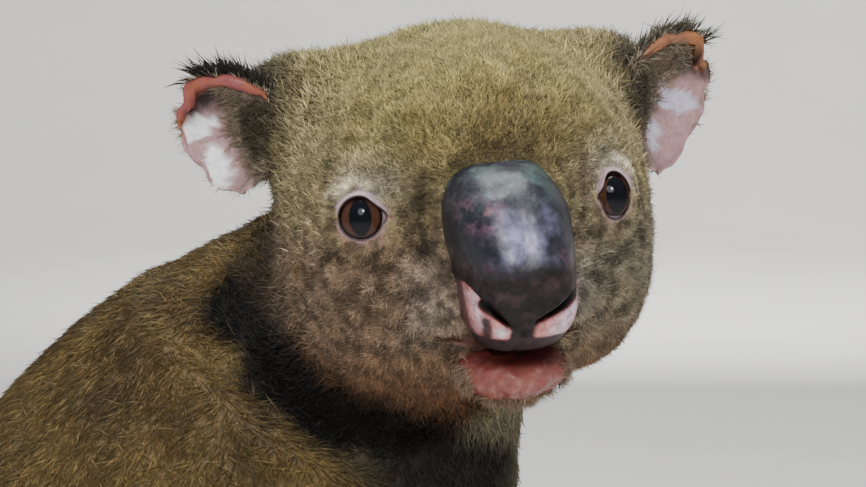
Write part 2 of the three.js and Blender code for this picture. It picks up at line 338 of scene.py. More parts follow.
# %% [markdown]
# ## One skin
# The solids are cut apart at the neck, the joints and the waist. Real skin runs over all of
# them. A voxel remesh melts overlapping closed meshes into one, so each part is first swollen
# by a third of a millimetre to close the thin cuts. Smoothing then takes away the flat faces.

# %% Mesh helpers
PAIRED_FLESH = ("upper_arm", "forearm", "hand", "thigh", "shin", "foot")
FLESH = ["head", "neck", "chest", "rump", *[f"{part}_{side}" for part in PAIRED_FLESH for side in SIDES]]
SWELL = 0.35 * MM
SKIN_GRAIN = 2.6 * MM


def merged(node):
    """A node's triangles as one closed bmesh."""
    part = bmesh.new()
    part.from_mesh(nodes[node].data)
    bmesh.ops.remove_doubles(part, verts=part.verts, dist=0.01 * MM)
    part.normal_update()
    return part


def as_object(built, name):
    """A finished bmesh as an object, turned right side out if it is inside out."""
    if built.calc_volume(signed=True) < 0:
        bmesh.ops.reverse_faces(built, faces=built.faces)
    mesh = bpy.data.meshes.new(name)
    built.to_mesh(mesh)
    built.free()
    mesh.shade_smooth()
    piece = bpy.data.objects.new(name, mesh)
    bpy.context.scene.collection.objects.link(piece)
    return piece


def joined(names, swell, settle=None):
    """Some nodes' meshes in one bmesh, swollen, with each vertex settled if a rule is given."""
    whole = bmesh.new()
    for node in names:
        part = merged(node)
        for vertex in part.verts:
            vertex.co += vertex.normal * swell
            if settle:
                vertex.co = settle(node, vertex.co)
        lump = bpy.data.meshes.new("lump")
        part.to_mesh(lump)
        part.free()
        whole.from_mesh(lump)
        bpy.data.meshes.remove(lump)
    return whole


def verts_of(built):
    """The places of a bmesh's vertices as rows of an array."""
    return np.array([v.co for v in built.verts])


def move(verts, places):
    for vertex, place in zip(verts, places):
        vertex.co = place


def read(mesh, field="co"):
    """Every vertex's place or normal as rows of an array."""
    source = mesh.vertices if field == "co" else mesh.vertex_normals
    flat = np.empty(len(mesh.vertices) * 3, np.float32)
    source.foreach_get(field, flat)
    return flat.reshape(-1, 3).astype(float)


def write(mesh, points):
    mesh.vertices.foreach_set("co", np.asarray(points, np.float32).ravel())
    mesh.update()


def neighbours(mesh):
    flat = np.empty(len(mesh.edges) * 2, np.int32)
    mesh.edges.foreach_get("vertices", flat)
    return flat.reshape(-1, 2)


def blurred(values, edges, rounds, amount=0.5):
    """Evens values out between neighbouring vertices."""
    a, b = edges.T
    count = np.maximum(np.bincount(np.r_[a, b], minlength=len(values)), 1)
    values = values.reshape(len(values), -1).astype(float)
    for _ in range(rounds):
        for column in values.T:
            total = np.bincount(np.r_[a, b], column[np.r_[b, a]], len(column))
            column += amount * (total / count - column)
    return values


def baked(piece):
    """Applies a piece's modifiers."""
    graph = bpy.context.evaluated_depsgraph_get()
    mesh = bpy.data.meshes.new_from_object(piece.evaluated_get(graph))
    piece.modifiers.clear()
    old, piece.data = piece.data, mesh
    bpy.data.meshes.remove(old)
    return mesh


def keep(mesh, name, values):
    """Stores one number or one vector for each vertex."""
    kind, field = ("FLOAT_VECTOR", "vector") if values.ndim > 1 else ("FLOAT", "value")
    kept = mesh.attributes.new(name, kind, "POINT")
    kept.data.foreach_set(field, values.astype(np.float32).ravel())


def soft_step(low, high, value):
    share = np.clip((value - low) / (high - low), 0, 1)
    return share * share * (3 - 2 * share)


# %% Melt the flesh together
# The hollows that hold the nose, the chin and the eyes are filled level with the face, so
# that the skin runs smoothly up to them.
FILLINGS = {"nose": -15, "lower_lip": -11, "eye_left": -1, "eye_right": -1}  # y they end at, in mm


def levelled(node, place):
    if node not in FILLINGS:
        return place
    own = to_head(place)
    own[1] = max(own[1], FILLINGS[node])
    return from_head(own)


skin = as_object(joined([*FLESH, *FILLINGS], SWELL, levelled), "skin")
melt = skin.modifiers.new("melt", "REMESH")
melt.mode = "VOXEL"
melt.voxel_size = SKIN_GRAIN
soften = skin.modifiers.new("soften", "SMOOTH")
soften.factor = 0.5
soften.iterations = 10
baked(skin)
print("skin:", len(skin.data.vertices), "vertices after the remesh")

# %% [markdown]
# ## How deep the coat is, and which way it lies
# The solids reach out to the tips of the fur, so the skin lies inside them by the depth of the
# coat. Fur has a direction as well: back from the nose over the head, down the trunk, and along
# every limb. Each vertex takes both from the nearest part, and blurring them over the mesh
# makes the change from part to part gradual.


# %% Coat depth and lie by part
COATS = {  # depth of the coat in mm, and the way it lies
    "head": (2.4, (0, 1, 0)),
    "neck": (1.8, (0.1, 0.5, -0.85)),
    "chest": (2.0, (0, 0.05, -1)),
    "rump": (2.2, (0, 0.25, -1)),
    "upper_arm": (2.0, (0.15, -0.4, -0.9)),
    "forearm": (1.8, (-0.15, -0.45, -0.85)),
    "hand": (1.2, (0, -1, -0.25)),
    "thigh": (2.2, (0.45, -0.6, -0.5)),
    "shin": (1.8, (-0.1, 0.1, -1)),
    "foot": (1.2, (0, -1, -0.25)),
}
PARTS = list(COATS)
MUZZLE_SHIFT = 1.6  # the nose and chin sit this far to the left of the head's middle plane
NOSE_BRIDGE = np.array([MUZZLE_SHIFT, -34, -4])


def on_parts(kinds, *names):
    """How far each vertex belongs to some kinds of part, from 0 to 1."""
    return sum(kinds[:, PARTS.index(name)] for name in names)


def nearest_part(points):
    """For each point, the number of the kind of part that it lies on, and its side."""
    centres, kinds = [], []
    for node in FLESH:
        kind, _, side = node.rpartition("_") if node[-4:] in ("left", "ight") else (node, "", "")
        for face in nodes[node].data.polygons:
            centres.append(face.center)
            kinds.append((PARTS.index(kind), SIDES.get(side, 0)))
    tree = KDTree(len(centres))
    for number, centre in enumerate(centres):
        tree.insert(centre, number)
    tree.balance()
    return np.array([kinds[tree.find(point)[1]] for point in points])


def lie_of_coat(points, parts):
    lie = np.array([COATS[PARTS[kind]][1] for kind, _ in parts], float)
    lie[:, 0] *= np.where(parts[:, 1] == 0, 1, parts[:, 1])
    on_head = parts[:, 0] == PARTS.index("head")
    away = to_head(points[on_head]) - NOSE_BRIDGE
    away /= np.linalg.norm(away, axis=1, keepdims=True)
    lie[on_head] = away @ HEAD_AXES.T
    return lie


places = read(skin.data)
parts = nearest_part(places)
kinds = np.eye(len(PARTS))[parts[:, 0]]
links = neighbours(skin.data)
kinds = blurred(kinds, links, 12)
lie = blurred(lie_of_coat(places, parts), links, 14)
depth = kinds @ np.array([COATS[kind][0] for kind in PARTS])
write(skin.data, places - read(skin.data, "vector") * depth[:, None] * MM)
keep(skin.data, "lie", lie)
keep(skin.data, "side", parts[:, 1])
for number, kind in enumerate(PARTS):
    keep(skin.data, f"on_{kind}", kinds[:, number])
print("coat depth in mm:", depth.min().round(1), "to", depth.max().round(1))

# %% [markdown]
# ## An unwrap of the skin
# Every tuft takes the colour of the place it grows from, so it needs an address on the skin.
# The skin is flattened once, while it is still plain. Later cuts keep the flattened map.


# %% Unwrap
def unwrap(piece):
    for picked in bpy.context.selected_objects:
        picked.select_set(False)
    piece.select_set(True)
    bpy.context.view_layer.objects.active = piece
    piece.data.uv_layers.new(name="unwrap")
    bpy.ops.object.mode_set(mode="EDIT")
    bpy.ops.mesh.select_all(action="SELECT")
    bpy.ops.uv.smart_project(angle_limit=math.radians(72), island_margin=0.002)
    bpy.ops.object.mode_set(mode="OBJECT")
    print("unwrapped", len(piece.data.polygons), "faces of", piece.name)


unwrap(skin)

# %% [markdown]
# ## Finer mesh where the face is looked at
# Lids, the mouth and the folds round the nose are a millimetre or two wide, and the body's
# mesh is coarser than that. Only the front of the head is divided, once, and then once more
# round the eyes, the nose and the mouth.


# %% Divide the face
def from_eyes(at):
    """Distance in mm from the centre of the nearer eyeball."""
    return np.min([np.linalg.norm(at - centre, axis=1) for centre in EYES.values()], axis=0)


def face_zone(points):
    x, y, z = to_head(points).T
    return (y < 30) & (np.abs(x) < 62) & (z > -58) & (z < 46)


def fine_zone(points):
    at = to_head(points)
    x, y, z = at.T
    near_muzzle = (y < 2) & (np.abs(x - MUZZLE_SHIFT) < 26) & (z < 13) & (z > -46)
    return (from_eyes(at) < 18) | near_muzzle


face = bmesh.new()
face.from_mesh(skin.data)
for zone in (face_zone, fine_zone):
    inside = zone(verts_of(face))
    chosen = [e for e in face.edges if inside[e.verts[0].index] and inside[e.verts[1].index]]
    bmesh.ops.subdivide_edges(face, edges=chosen, cuts=1, use_grid_fill=True)
    face.verts.index_update()
    inside = zone(verts_of(face))
    ring = [v for v, chosen_now in zip(face.verts, inside) if chosen_now]
    bmesh.ops.smooth_vert(face, verts=ring, factor=0.5, use_axis_x=True, use_axis_y=True, use_axis_z=True)
print("skin:", len(face.verts), "vertices after the face was divided")

# %% [markdown]
# ## Folds of the face
# Seen close, a koala's cheeks are not a smooth ball: the skin dips between the eye and the
# nose, swells over the cheeks, and is creased where the upper lip meets the chin. These are
# small moves of the divided mesh, in the head's frame, like soft pushes with a thumb.


# %% Soft pushes
def bulge(at, centre, size, height):
    """A bump or dent of some height in mm at every point, with soft edges."""
    away = np.linalg.norm((at - np.array(centre)) / np.array(size), axis=1)
    return height * np.exp(-(away**2) * 1.5)


def groove(at, ends, width, height):
    """A bump or dent along a line between two points."""
    start, stop = np.array(ends, float)
    along = np.clip((at - start) @ (stop - start) / np.sum((stop - start) ** 2), 0, 1)
    away = np.linalg.norm(at - start - along[:, None] * (stop - start), axis=1)
    return height * np.exp(-((away / width) ** 2))


def waves(points, size):
    """Soft noise from -1 to 1 at each point, in hills and dents of about this size."""
    return np.array([noise.noise(Vector(p) / size) for p in points])


MOUTH_LEFT = (22, -33)  # across and up
MOUTH_RIGHT = (-17.5, -32)
MOUTH_MIDDLE = (MUZZLE_SHIFT, -36)
# the partings are dented into the skin and painted dark brown as shade in the gaps
PARTINGS = [  # dark lines where the coat parts: across and up at two ends, and the width in mm
    ((-23.0, 2), (-18.5, -13), 1.7),
    ((-18.0, 12), (-19.0, 1), 1.2),
    ((24.5, 12), (26.0, 2), 1.1),
    ((26.0, 2), (21.0, -12), 1.2),
    ((29.5, -7), (26.0, -20), 1.0),
    ((-28.0, -13), (-35.0, -24), 1.1),
    ((-22.0, -17), (-25.5, -28), 1.0),
    ((-41.0, -8), (-48.0, -18), 1.2),
]


def parting(at):
    """How far each point lies in a parting of the coat, from 0 to 1, seen from the front."""
    deepest = np.zeros(len(at))
    ragged = 0.8 * waves(at, 3.0)
    for first, last, width in PARTINGS:
        line = groove(at[:, [0, 2]] + ragged[:, None], [first, last], width, 1.0)
        deepest = np.maximum(deepest, line)
    return deepest * soft_step(22, 12, at[:, 1])


def under_jaw(at):
    """How far each point lies below the edge of the jaw, in mm, and negative above it."""
    return -63 + 0.0107 * (at[:, 0] + 2) ** 2 - at[:, 2]


def mouth_line(at, width):
    """How near each point is to the line of the closed mouth, from 0 to 1, seen from the front."""
    flat = at[:, [0, 2]]
    ends = np.array([MOUTH_LEFT, MOUTH_MIDDLE, MOUTH_RIGHT])
    nearer = np.maximum(groove(flat, ends[:2], width, 1.0), groove(flat, ends[1:], width, 1.0))
    return nearer * (at[:, 1] < 6)


def folds(at):
    """How far each point of the face stands out, in mm, above the plain form."""
    height = np.zeros(len(at))
    for side in SIDES.values():
        height += bulge(at, (31 * side, 3, 14), (13, 9, 5), 1.6)  # brow over the eye
        height += bulge(at, (22 * side, -8, -5), (4, 8, 12), -2.0)  # trough beside the nose
        height += bulge(at, (34 * side, 4, -24), (14, 12, 12), 1.8)  # cheek
        height += bulge(at, (18 * side, -8, -28), (9, 8, 7), 1.6)  # upper lip
        height += groove(at, [(24 * side, -5, -8), (33 * side, 0, -14)], 2.0, -0.7)
    height -= 1.1 * parting(at)
    height -= 3.5 * np.exp(-(((under_jaw(at) - 6) / 5) ** 2)) * soft_step(10, 25, at[:, 1])
    height -= 2.2 * mouth_line(at, 1.0)
    height += groove(at, [(MUZZLE_SHIFT, -12, 17), (MUZZLE_SHIFT, 0, 32)], 3.5, -0.5)
    return height + 0.8 * waves(at, 7) + 0.35 * waves(at, 3)


for vertex in face.verts:
    vertex.normal_update()
places = verts_of(face)
normals = np.array([v.normal for v in face.verts])
at = to_head(places)
fade = soft_step(45, 20, at[:, 1]) * soft_step(-70, -52, at[:, 2])
places += normals * (folds(at) * fade)[:, None] * MM
move(face.verts, places)
print("folds of", folds(at).min().round(1), "to", folds(at).max().round(1), "mm")

# %% [markdown]
# ## Eyelids
# A lid is a thick soft edge that lies on the eyeball. Round each eye the skin is cut away in a
# patch, and its open edge is extruded inwards ring by ring: over the swell of the lid, down to
# the rim that touches the ball, and under it into the head, where the last ring is closed. The
# rings follow one outline, nearly round, with a point towards the nose.

# %% Outline and height of the lids
EYE_RADIUS = 9.0
OPENINGS = {  # heading away from the nose and rise in degrees, then the lids' outline in mm
    "right": {"heading": 12, "rise": 8, "half_width": 5.7, "half_height": 5.6, "corner": 1.1},
    "left": {"heading": -1, "rise": 7.5, "half_width": 3.8, "half_height": 6.3, "corner": 0.8},
}
LID_WIDTH = 1.6
LID_RINGS = 15
LID_TUCKS = ((0.96, 0.5), (0.8, 2.5), (0.4, 5.0))  # share of the opening, and depth under the ball
PATCH = 7.5  # width of the patch that is cut away round the opening


def direction(heading, rise, side):
    """A unit vector in the head's frame, from its heading away from the nose and its rise."""
    h, r = math.radians(heading) * side, math.radians(rise)
    return np.array([math.sin(h) * math.cos(r), -math.cos(h) * math.cos(r), math.sin(r)])


def eye_axes(side):
    """Towards the nose, upwards, and out of the eye, as rows."""
    opening = OPENINGS[side]
    out = direction(opening["heading"], opening["rise"], SIDES[side])
    inwards = np.cross(out, (0, 0, 1)) * SIDES[side]
    inwards /= np.linalg.norm(inwards)
    up = np.cross(inwards, out) * SIDES[side]
    return np.array([inwards, up / np.linalg.norm(up), out])


def opening_radius(angle, side):
    """Distance from the middle of the opening to the lid's edge, by angle from the nose."""
    opening = OPENINGS[side]
    a, b = opening["half_width"], opening["half_height"]
    oval = a * b / np.hypot(b * np.cos(angle), a * np.sin(angle))
    corner = opening["corner"] * np.exp(-((angle / 0.30) ** 2))  # the point towards the nose
    flat = -0.65 * np.exp(-(((angle - 0.85) / 0.4) ** 2))
    return oval + corner + flat


def over_eyeball(distance):
    return np.sqrt(np.maximum(EYE_RADIUS**2 - distance**2, 1.0))


def lid_height(edge, past_edge, angle):
    """Height of the skin over the eyeball's centre, some way past the lid's edge."""
    upper = soft_step(-0.2, 0.5, np.sin(angle))
    swell = (0.15 + 0.95 * upper) * np.sin(np.pi * np.clip(past_edge / LID_WIDTH, 0, 1) ** 0.7)
    furrow = -0.45 * upper * np.exp(-(((past_edge - LID_WIDTH * 1.1) / 0.45) ** 2))
    mound = over_eyeball(edge) + 0.35 - 0.30 * past_edge - 0.022 * past_edge**2
    return mound + swell + furrow


print("opening radii in mm:", {s: opening_radius(np.linspace(0, 5, 6), s).round(1).tolist() for s in SIDES})


# %% Cut the patches and grow the lids
def seen_in_eye(points, side):
    """Points as (distance, angle, height) round the middle of the opening."""
    inwards, up, out = ((to_head(points) - EYES[side]) @ eye_axes(side).T).T
    return np.hypot(inwards, up), np.arctan2(up, inwards), out


def placed_in_eye(distance, angle, height, side):
    flat = np.column_stack([distance * np.cos(angle), distance * np.sin(angle), height])
    return from_head(flat @ eye_axes(side) + EYES[side])


def grow_ring(built, edges, place):
    """Extrudes an open edge and moves each new vertex to the place given for its old one."""
    old = list({v for e in edges for v in e.verts})
    made = bmesh.ops.extrude_edge_only(built, edges=edges)["geom"]
    by_place = {tuple(v.co): v for v in made if isinstance(v, bmesh.types.BMVert)}
    fresh = [by_place[tuple(v.co)] for v in old]
    move(fresh, place(np.array([v.co for v in old])))
    return [e for e in made if isinstance(e, bmesh.types.BMEdge)]


def grow_lid(built, side):
    distance, angle, height = seen_in_eye(verts_of(built), side)
    cut = (distance < opening_radius(angle, side) + PATCH) & (height > -6)
    bmesh.ops.delete(built, geom=[v for v, gone in zip(list(built.verts), cut) if gone], context="VERTS")
    built.verts.index_update()
    edges = [
        e for e in built.edges
        if e.is_boundary and np.linalg.norm(to_head(e.verts[0].co) - EYES[side]) < 20
    ]
    first, turn, level = seen_in_eye(np.array([v.co for e in edges for v in e.verts]), side)
    order = np.argsort(turn)

    def start(angles, values):
        """A value of the cut edge, by angle."""
        return np.interp(angles, turn[order], values[order], period=2 * np.pi)

    for ring in range(1, LID_RINGS + 1):
        share = 1 - (1 - ring / LID_RINGS) ** 1.45

        def place(points):
            _, angles, _ = seen_in_eye(points, side)
            edge = opening_radius(angles, side)
            distances = edge + (start(angles, first) - edge) * (1 - share)
            lid = lid_height(edge, distances - edge, angles)
            blend = soft_step(0, 0.55, share)
            heights = start(angles, level) * (1 - blend) + lid * blend
            return placed_in_eye(distances, angles, heights, side)

        edges = grow_ring(built, edges, place)
    for inside, deep in LID_TUCKS:

        def tuck(points):
            _, angles, _ = seen_in_eye(points, side)
            distances = opening_radius(angles, side) * inside
            return placed_in_eye(distances, angles, over_eyeball(distances) - deep, side)

        edges = grow_ring(built, edges, tuck)
    bmesh.ops.holes_fill(built, edges=edges)
    print("lid of the", side, "eye:", LID_RINGS, "rings of", len(edges), "vertices")


for side in SIDES:
    grow_lid(face, side)
bmesh.ops.triangulate(face, faces=[f for f in face.faces if len(f.verts) > 4])
face.to_mesh(skin.data)
face.free()
skin.data.shade_smooth()
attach(skin, "root")
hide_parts(*FLESH)
print("skin:", len(skin.data.polygons), "faces")

# %% [markdown]
# ## Eyes
# A koala's eye is brown, with a pupil that is a tall oval slit in bright light. The eyeball is a
# sphere whose poles lie on the line of sight, so that its rings run round the iris. Where the
# pupil ends is worked out on the mesh, as an attribute, because both eyes look their own way.

# %% Eyeballs
GAZES = {"right": (11.5, 9.5), "left": (1.5, 8.5)}  # heading away from the nose and rise, in degrees
IRIS_RADIUS = 5.6
PUPIL_WIDTH, PUPIL_HEIGHT = 5.7, 9.9
CORNEA_RISE = 0.5
HIDDEN_DIP = 1.2  # the ball is smaller where the skin lies over it


def eyeball(side):
    built = bmesh.new()
    bmesh.ops.create_uvsphere(built, u_segments=64, v_segments=48, radius=1.0)
    out = direction(*GAZES[side], SIDES[side])
    across = np.cross(out, (0, 0, 1))
    across /= np.linalg.norm(across)
    axes = np.array([across, np.cross(across, out), out])
    unit = verts_of(built)
    off_axis = np.hypot(unit[:, 0], unit[:, 1]) * EYE_RADIUS
    cornea = CORNEA_RISE * soft_step(IRIS_RADIUS + 0.6, 0, off_axis) * (unit[:, 2] > 0)
    hidden = HIDDEN_DIP * soft_step(0.58, 0.2, unit[:, 2])
    formed = unit * (EYE_RADIUS + cornea - hidden)[:, None]
    move(built.verts, from_head(formed @ axes + EYES[side]))
    piece = as_object(built, f"eyeball_{side}")
    looked = unit * EYE_RADIUS
    looked[unit[:, 2] < 0] = (0, EYE_RADIUS * 2, 0)
    keep(piece.data, "looked", looked)
    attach(piece, "root")
    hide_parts(f"eye_{side}")
    return piece


# %% The eye's finish
# the white of the eye, darkened with painted shade
SHADED_SCLERA = srgb(122, 110, 120)
IRIS_OUTER = srgb(72, 44, 34)
IRIS_INNER = srgb(60, 38, 20)
PUPIL = srgb(5, 7, 14)
# dark ring round the iris, also used for the painted shade under the upper lid
LIMBUS_AND_LID_SHADE = srgb(20, 12, 10)


def eye_finish():
    wet = Bench("moist_eye", roughness=0.05)
    wet.shader.inputs["IOR"].default_value = 1.36
    wet.shader.inputs["Specular IOR Level"].default_value = 0.35
    parts_of = wet.add("ShaderNodeSeparateXYZ", None, {"Vector": wet.own("looked", "Vector")})
    node = parts_of.socket.node
    x, y = Wire(wet, node.outputs["X"]), Wire(wet, node.outputs["Y"])
    off_axis = (x * x + y * y).raised(0.5)
    across, up = x / (PUPIL_WIDTH / 2), y / (PUPIL_HEIGHT / 2)
    slit = (across * across + up * up).raised(0.5)
    angle = wet.add("ShaderNodeMath", {"operation": "ARCTAN2"}, {0: y, 1: x})
    spoke_place = wet.add("ShaderNodeCombineXYZ", None, {"X": angle * 9, "Y": off_axis * 0.35, "Z": 0.0})
    spokes = wet.add("ShaderNodeTexNoise", None, {"Vector": spoke_place, "Scale": 1.6, "Detail": 4.0}, "Fac")
    outward = off_axis.between(2.4, IRIS_RADIUS * 0.9)
    iris = wet.mix(outward, rgba(IRIS_INNER), rgba(IRIS_OUTER))
    iris = wet.mix(spokes.between(0.35, 0.75) * 0.6, iris, rgba(IRIS_OUTER * 0.35))
    iris = wet.mix(off_axis.between(IRIS_RADIUS * 0.82, IRIS_RADIUS * 0.98), iris, rgba(LIMBUS_AND_LID_SHADE))
    ball = wet.mix(off_axis.between(IRIS_RADIUS, IRIS_RADIUS + 0.35), iris, rgba(SHADED_SCLERA))
    colour = wet.mix(slit.between(1.06, 0.96), ball, rgba(PUPIL))
    # painted shade on the ball just under the upper lid
    colour = wet.mix(y.between(3.4, 5.0) * 0.85, colour, rgba(LIMBUS_AND_LID_SHADE))  # in the upper lid's shade
    return wet.finish(base_color=colour)


wet_eye = eye_finish()
for side in SIDES:
    eyeball(side).data.materials.append(wet_eye)
print("iris", IRIS_RADIUS * 2, "mm across on eyeballs of", EYE_RADIUS * 2, "mm")

# %% [markdown]
# ## Nose
# The koala's nose is a bare shield of dark leather, as tall as the eye is far from the ear. A
# round ball of fine mesh is pulled into it: each height has its own width and its own reach
# forwards, and the cross-section is squared off so that the front is broad. The nostrils, the
# pale wings under them and the groove to the lip are then pushed in and out of it.

# %% The nose's form
NOSE_TOP, NOSE_BOTTOM, NOSE_BACK = 14.0, -36.5, -3.0
NOSE_HALF_WIDTH = 17.6
NOSE_SQUARENESS = 0.72
NOSE_SWAY = 1.7
NOSE_WIDTHS = [
    (0, 0.88), (0.11, 0.92), (0.19, 0.95), (0.31, 0.92), (0.445, 0.91),
    (0.62, 0.975), (0.78, 1.03), (0.88, 1.05), (1, 1.04),
]
NOSE_FRONTS = [
    (0, 31), (0.11, 34.5), (0.19, 36), (0.31, 37.6), (0.445, 38),
    (0.62, 36.2), (0.78, 33.2), (0.88, 31), (1, 29),
]
NOSTRILS = {  # across and up, from the outer end of each nostril to the inner one
    "right": [(9.8, -21.0), (7.4, -23.3), (4.4, -25.8)],
    "left": [(11.8, -20.0), (8.4, -22.5), (4.2, -25.2)],
}
WING_FOOT = (1.8, -27.4)  # where the two wings nearly meet in the middle
WING_TOP = (14.6, -15.0)  # where the pale wing beside the nostril begins


def curve(points, at):
    """A smooth curve through a few points."""
    x, y = np.array(points, float).T
    slope = np.gradient(y, x)
    i = np.clip(np.searchsorted(x, at) - 1, 0, len(x) - 2)
    step = x[i + 1] - x[i]
    t = (at - x[i]) / step
    return (
        y[i] * (2 * t**3 - 3 * t**2 + 1) + y[i + 1] * (3 * t**2 - 2 * t**3)
        + slope[i] * step * (t**3 - 2 * t**2 + t) + slope[i + 1] * step * (t**3 - t**2)
    )


def squared(value, rim):
    return np.sign(value) * np.abs(value) ** NOSE_SQUARENESS * rim


def nose_form(unit):
    up = np.clip((unit[:, 2] + 1) / 2, 0, 1)
    rim = np.hypot(unit[:, 0], unit[:, 1]) ** 0.42
    angle = np.arctan2(unit[:, 0], -unit[:, 1])
    ahead = squared(np.cos(angle), rim)
    reach = np.where(ahead > 0, curve(NOSE_FRONTS, up) + NOSE_BACK, 6.0)
    width = NOSE_HALF_WIDTH * curve(NOSE_WIDTHS, up)
    z = NOSE_BOTTOM + up * (NOSE_TOP - NOSE_BOTTOM)
    x = width * squared(np.sin(angle), rim)
    x -= 2.4 * soft_step(0, 13, z) * soft_step(2, 15, x)  # its upper left shoulder slopes more
    return np.column_stack([x, NOSE_BACK - ahead * reach, z])


def swayed(at):
    """The nose's lower end turned a little to the animal's left, as the head is."""
    return at + np.outer(NOSE_SWAY * soft_step(3, -24, at[:, 2]), (1, 0, 0))


def leaned(at):
    """The groove and the nostrils' inner ends drawn a little to the animal's right."""
    x, _, z = at.T
    return at + np.outer(3.0 * np.exp(-(((x + 1.5) / 9) ** 2)) * soft_step(-12, -22, z), (1, 0, 0))


def slit_distance(at):
    """Distance in mm from the nearer nostril's line, seen from the front, and how far along it."""
    steps = np.linspace(0, 1, 25)
    nearest, along = np.full(len(at), 99.0), np.zeros(len(at))
    for side, line in NOSTRILS.items():
        across, up = np.array(line).T
        path_x = np.interp(steps, [0, 0.5, 1], across) * SIDES[side]
        path_z = np.interp(steps, [0, 0.5, 1], up)
        away = np.hypot(at[:, :1] - path_x, at[:, 2:] - path_z)
        closer = away.min(1) < nearest
        nearest = np.where(closer, away.min(1), nearest)
        along = np.where(closer, steps[away.argmin(1)], along)
    return nearest, along


def below_slit(at):
    """Positive under the nostril's line, negative above it, in mm."""
    levels = {}
    for side, line in NOSTRILS.items():
        across, up = np.array([WING_FOOT, *line[::-1], WING_TOP]).T
        levels[side] = np.interp(at[:, 0] * SIDES[side], across, up)
    return np.where(at[:, 0] > 0, levels["left"], levels["right"]) - at[:, 2]


def nose_masks(at):
    """Where the nose is a nostril, and where it is pale wing, from 0 to 1."""
    away, along = slit_distance(at)
    under = below_slit(at)
    gape = np.where(under > 0, 2.3 - 1.7 * along, 1.0 - 0.6 * along)  # it opens downwards
    hole = np.exp(-((away / gape) ** 2)) * (at[:, 1] < -12)
    x, y, z = at.T
    wing = soft_step(0.2, 1.0, under) * soft_step(-31.0, -29.2, z) * soft_step(2.4, 4.4, np.abs(x))
    return hole, wing * soft_step(-9, -16, y)


def sculpted(at):
    """The nose with its holes, wings, groove and wrinkles."""
    drawn = leaned(at)
    hole, wing = nose_masks(drawn)
    x, y, z = drawn.T
    front = soft_step(-10, -18, y)
    push = np.zeros_like(at)
    push[:, 1] += 4.2 * hole  # into the head
    push[:, 2] += 1.0 * hole
    push[:, 1] -= 0.5 * wing
    push[:, 1] += 1.5 * np.exp(-((x / 0.8) ** 2)) * soft_step(-26, -31, z) * front  # groove to the lip
    ridge = np.exp(-(((below_slit(drawn) + 1.7) / 1.1) ** 2)) * soft_step(12, 8, np.abs(x))
    push[:, 1] -= 0.5 * ridge * front
    push[:, 1] += 0.9 * np.exp(-((x / 2.6) ** 2) - ((z + 2) / 9) ** 2) * front  # between two pads
    push[:, 1] += 1.0 * bulge(at, (0, -36, -19), (8, 12, 4), 1.0)  # flat over the nostrils
    push[:, 1] += 0.8 * groove(at, [(-10, -30, -8), (-13, -22, -2)], 1.6, 1.0)
    push[:, 1] -= 0.7 * bulge(at, (-9.5, -32, -11.5), (3, 8, 1.6), 1.0)
    push[:, 1] -= (0.5 * waves(at, 9) + 0.28 * waves(at, 4)) * (1 - hole)
    return at + push


built = bmesh.new()
bmesh.ops.create_icosphere(built, subdivisions=7, radius=1.0)
plain = nose_form(verts_of(built))
move(built.verts, from_head(swayed(sculpted(plain)) + (MUZZLE_SHIFT, 0, 0)))
for _ in range(2):
    bmesh.ops.smooth_vert(
        built, verts=built.verts, factor=0.4, use_axis_x=True, use_axis_y=True, use_axis_z=True
    )
nose = as_object(built, "nose_leather")
print("nose:", len(nose.data.polygons), "faces")

# %% [markdown]
# ## Colours of the nose
# The leather is blue-black on its sides, worn to a pale grey over the bridge, where a painted
# highlight lightens it further, with a painted green reflection on top and painted shade on the
# lower pad, its lower sides and deep in the nostrils. It is pink with pale lilac where the skin
# is thin, on the wings under the nostrils, and a white spot there is a painted highlight. The
# masks come from the same lines that shaped it, so the colours stay in their folds.

# %% The nose's finish
LEATHER_DARK = srgb(24, 25, 34)
LEATHER_WORN_AND_GLOW = srgb(136, 134, 168)
LEATHER_TOP_REFLECTION = srgb(72, 92, 88)
LEATHER_ROSE = srgb(150, 104, 122)
LEATHER_LOW_SHADE = srgb(24, 16, 17)
WING_ROSE = srgb(196, 128, 126)
WING_LILAC = srgb(206, 186, 200)
WING_HIGHLIGHT = srgb(240, 230, 236)
NOSTRIL_RED = srgb(84, 34, 28)
NOSTRIL_SHADE = srgb(10, 6, 7)
RIM_GREY = srgb(52, 38, 43)
RIM_DARK_AND_SHADE = srgb(32, 24, 28)


def lerp(first, second, share):
    return np.asarray(first) + (np.asarray(second) - np.asarray(first)) * np.asarray(share)[:, None]


def fractal(points, size, seed=0, octaves=3):
    """Soft noise from about 0 to 1 at each point, in the points' own unit."""
    shift = Vector((seed * 7.3, seed * 3.1, seed * 5.7))
    values = [noise.fractal(Vector(p) / size + shift, 1.0, 2.0, octaves) for p in points]
    return np.clip(0.5 + np.array(values) * 0.5, 0, 1)


def keep_colour(mesh, name, colours):
    layer = mesh.color_attributes.new(name, "FLOAT_COLOR", "POINT")
    full = np.column_stack([colours, np.ones(len(colours))])
    layer.data.foreach_set("color", full.astype(np.float32).ravel())


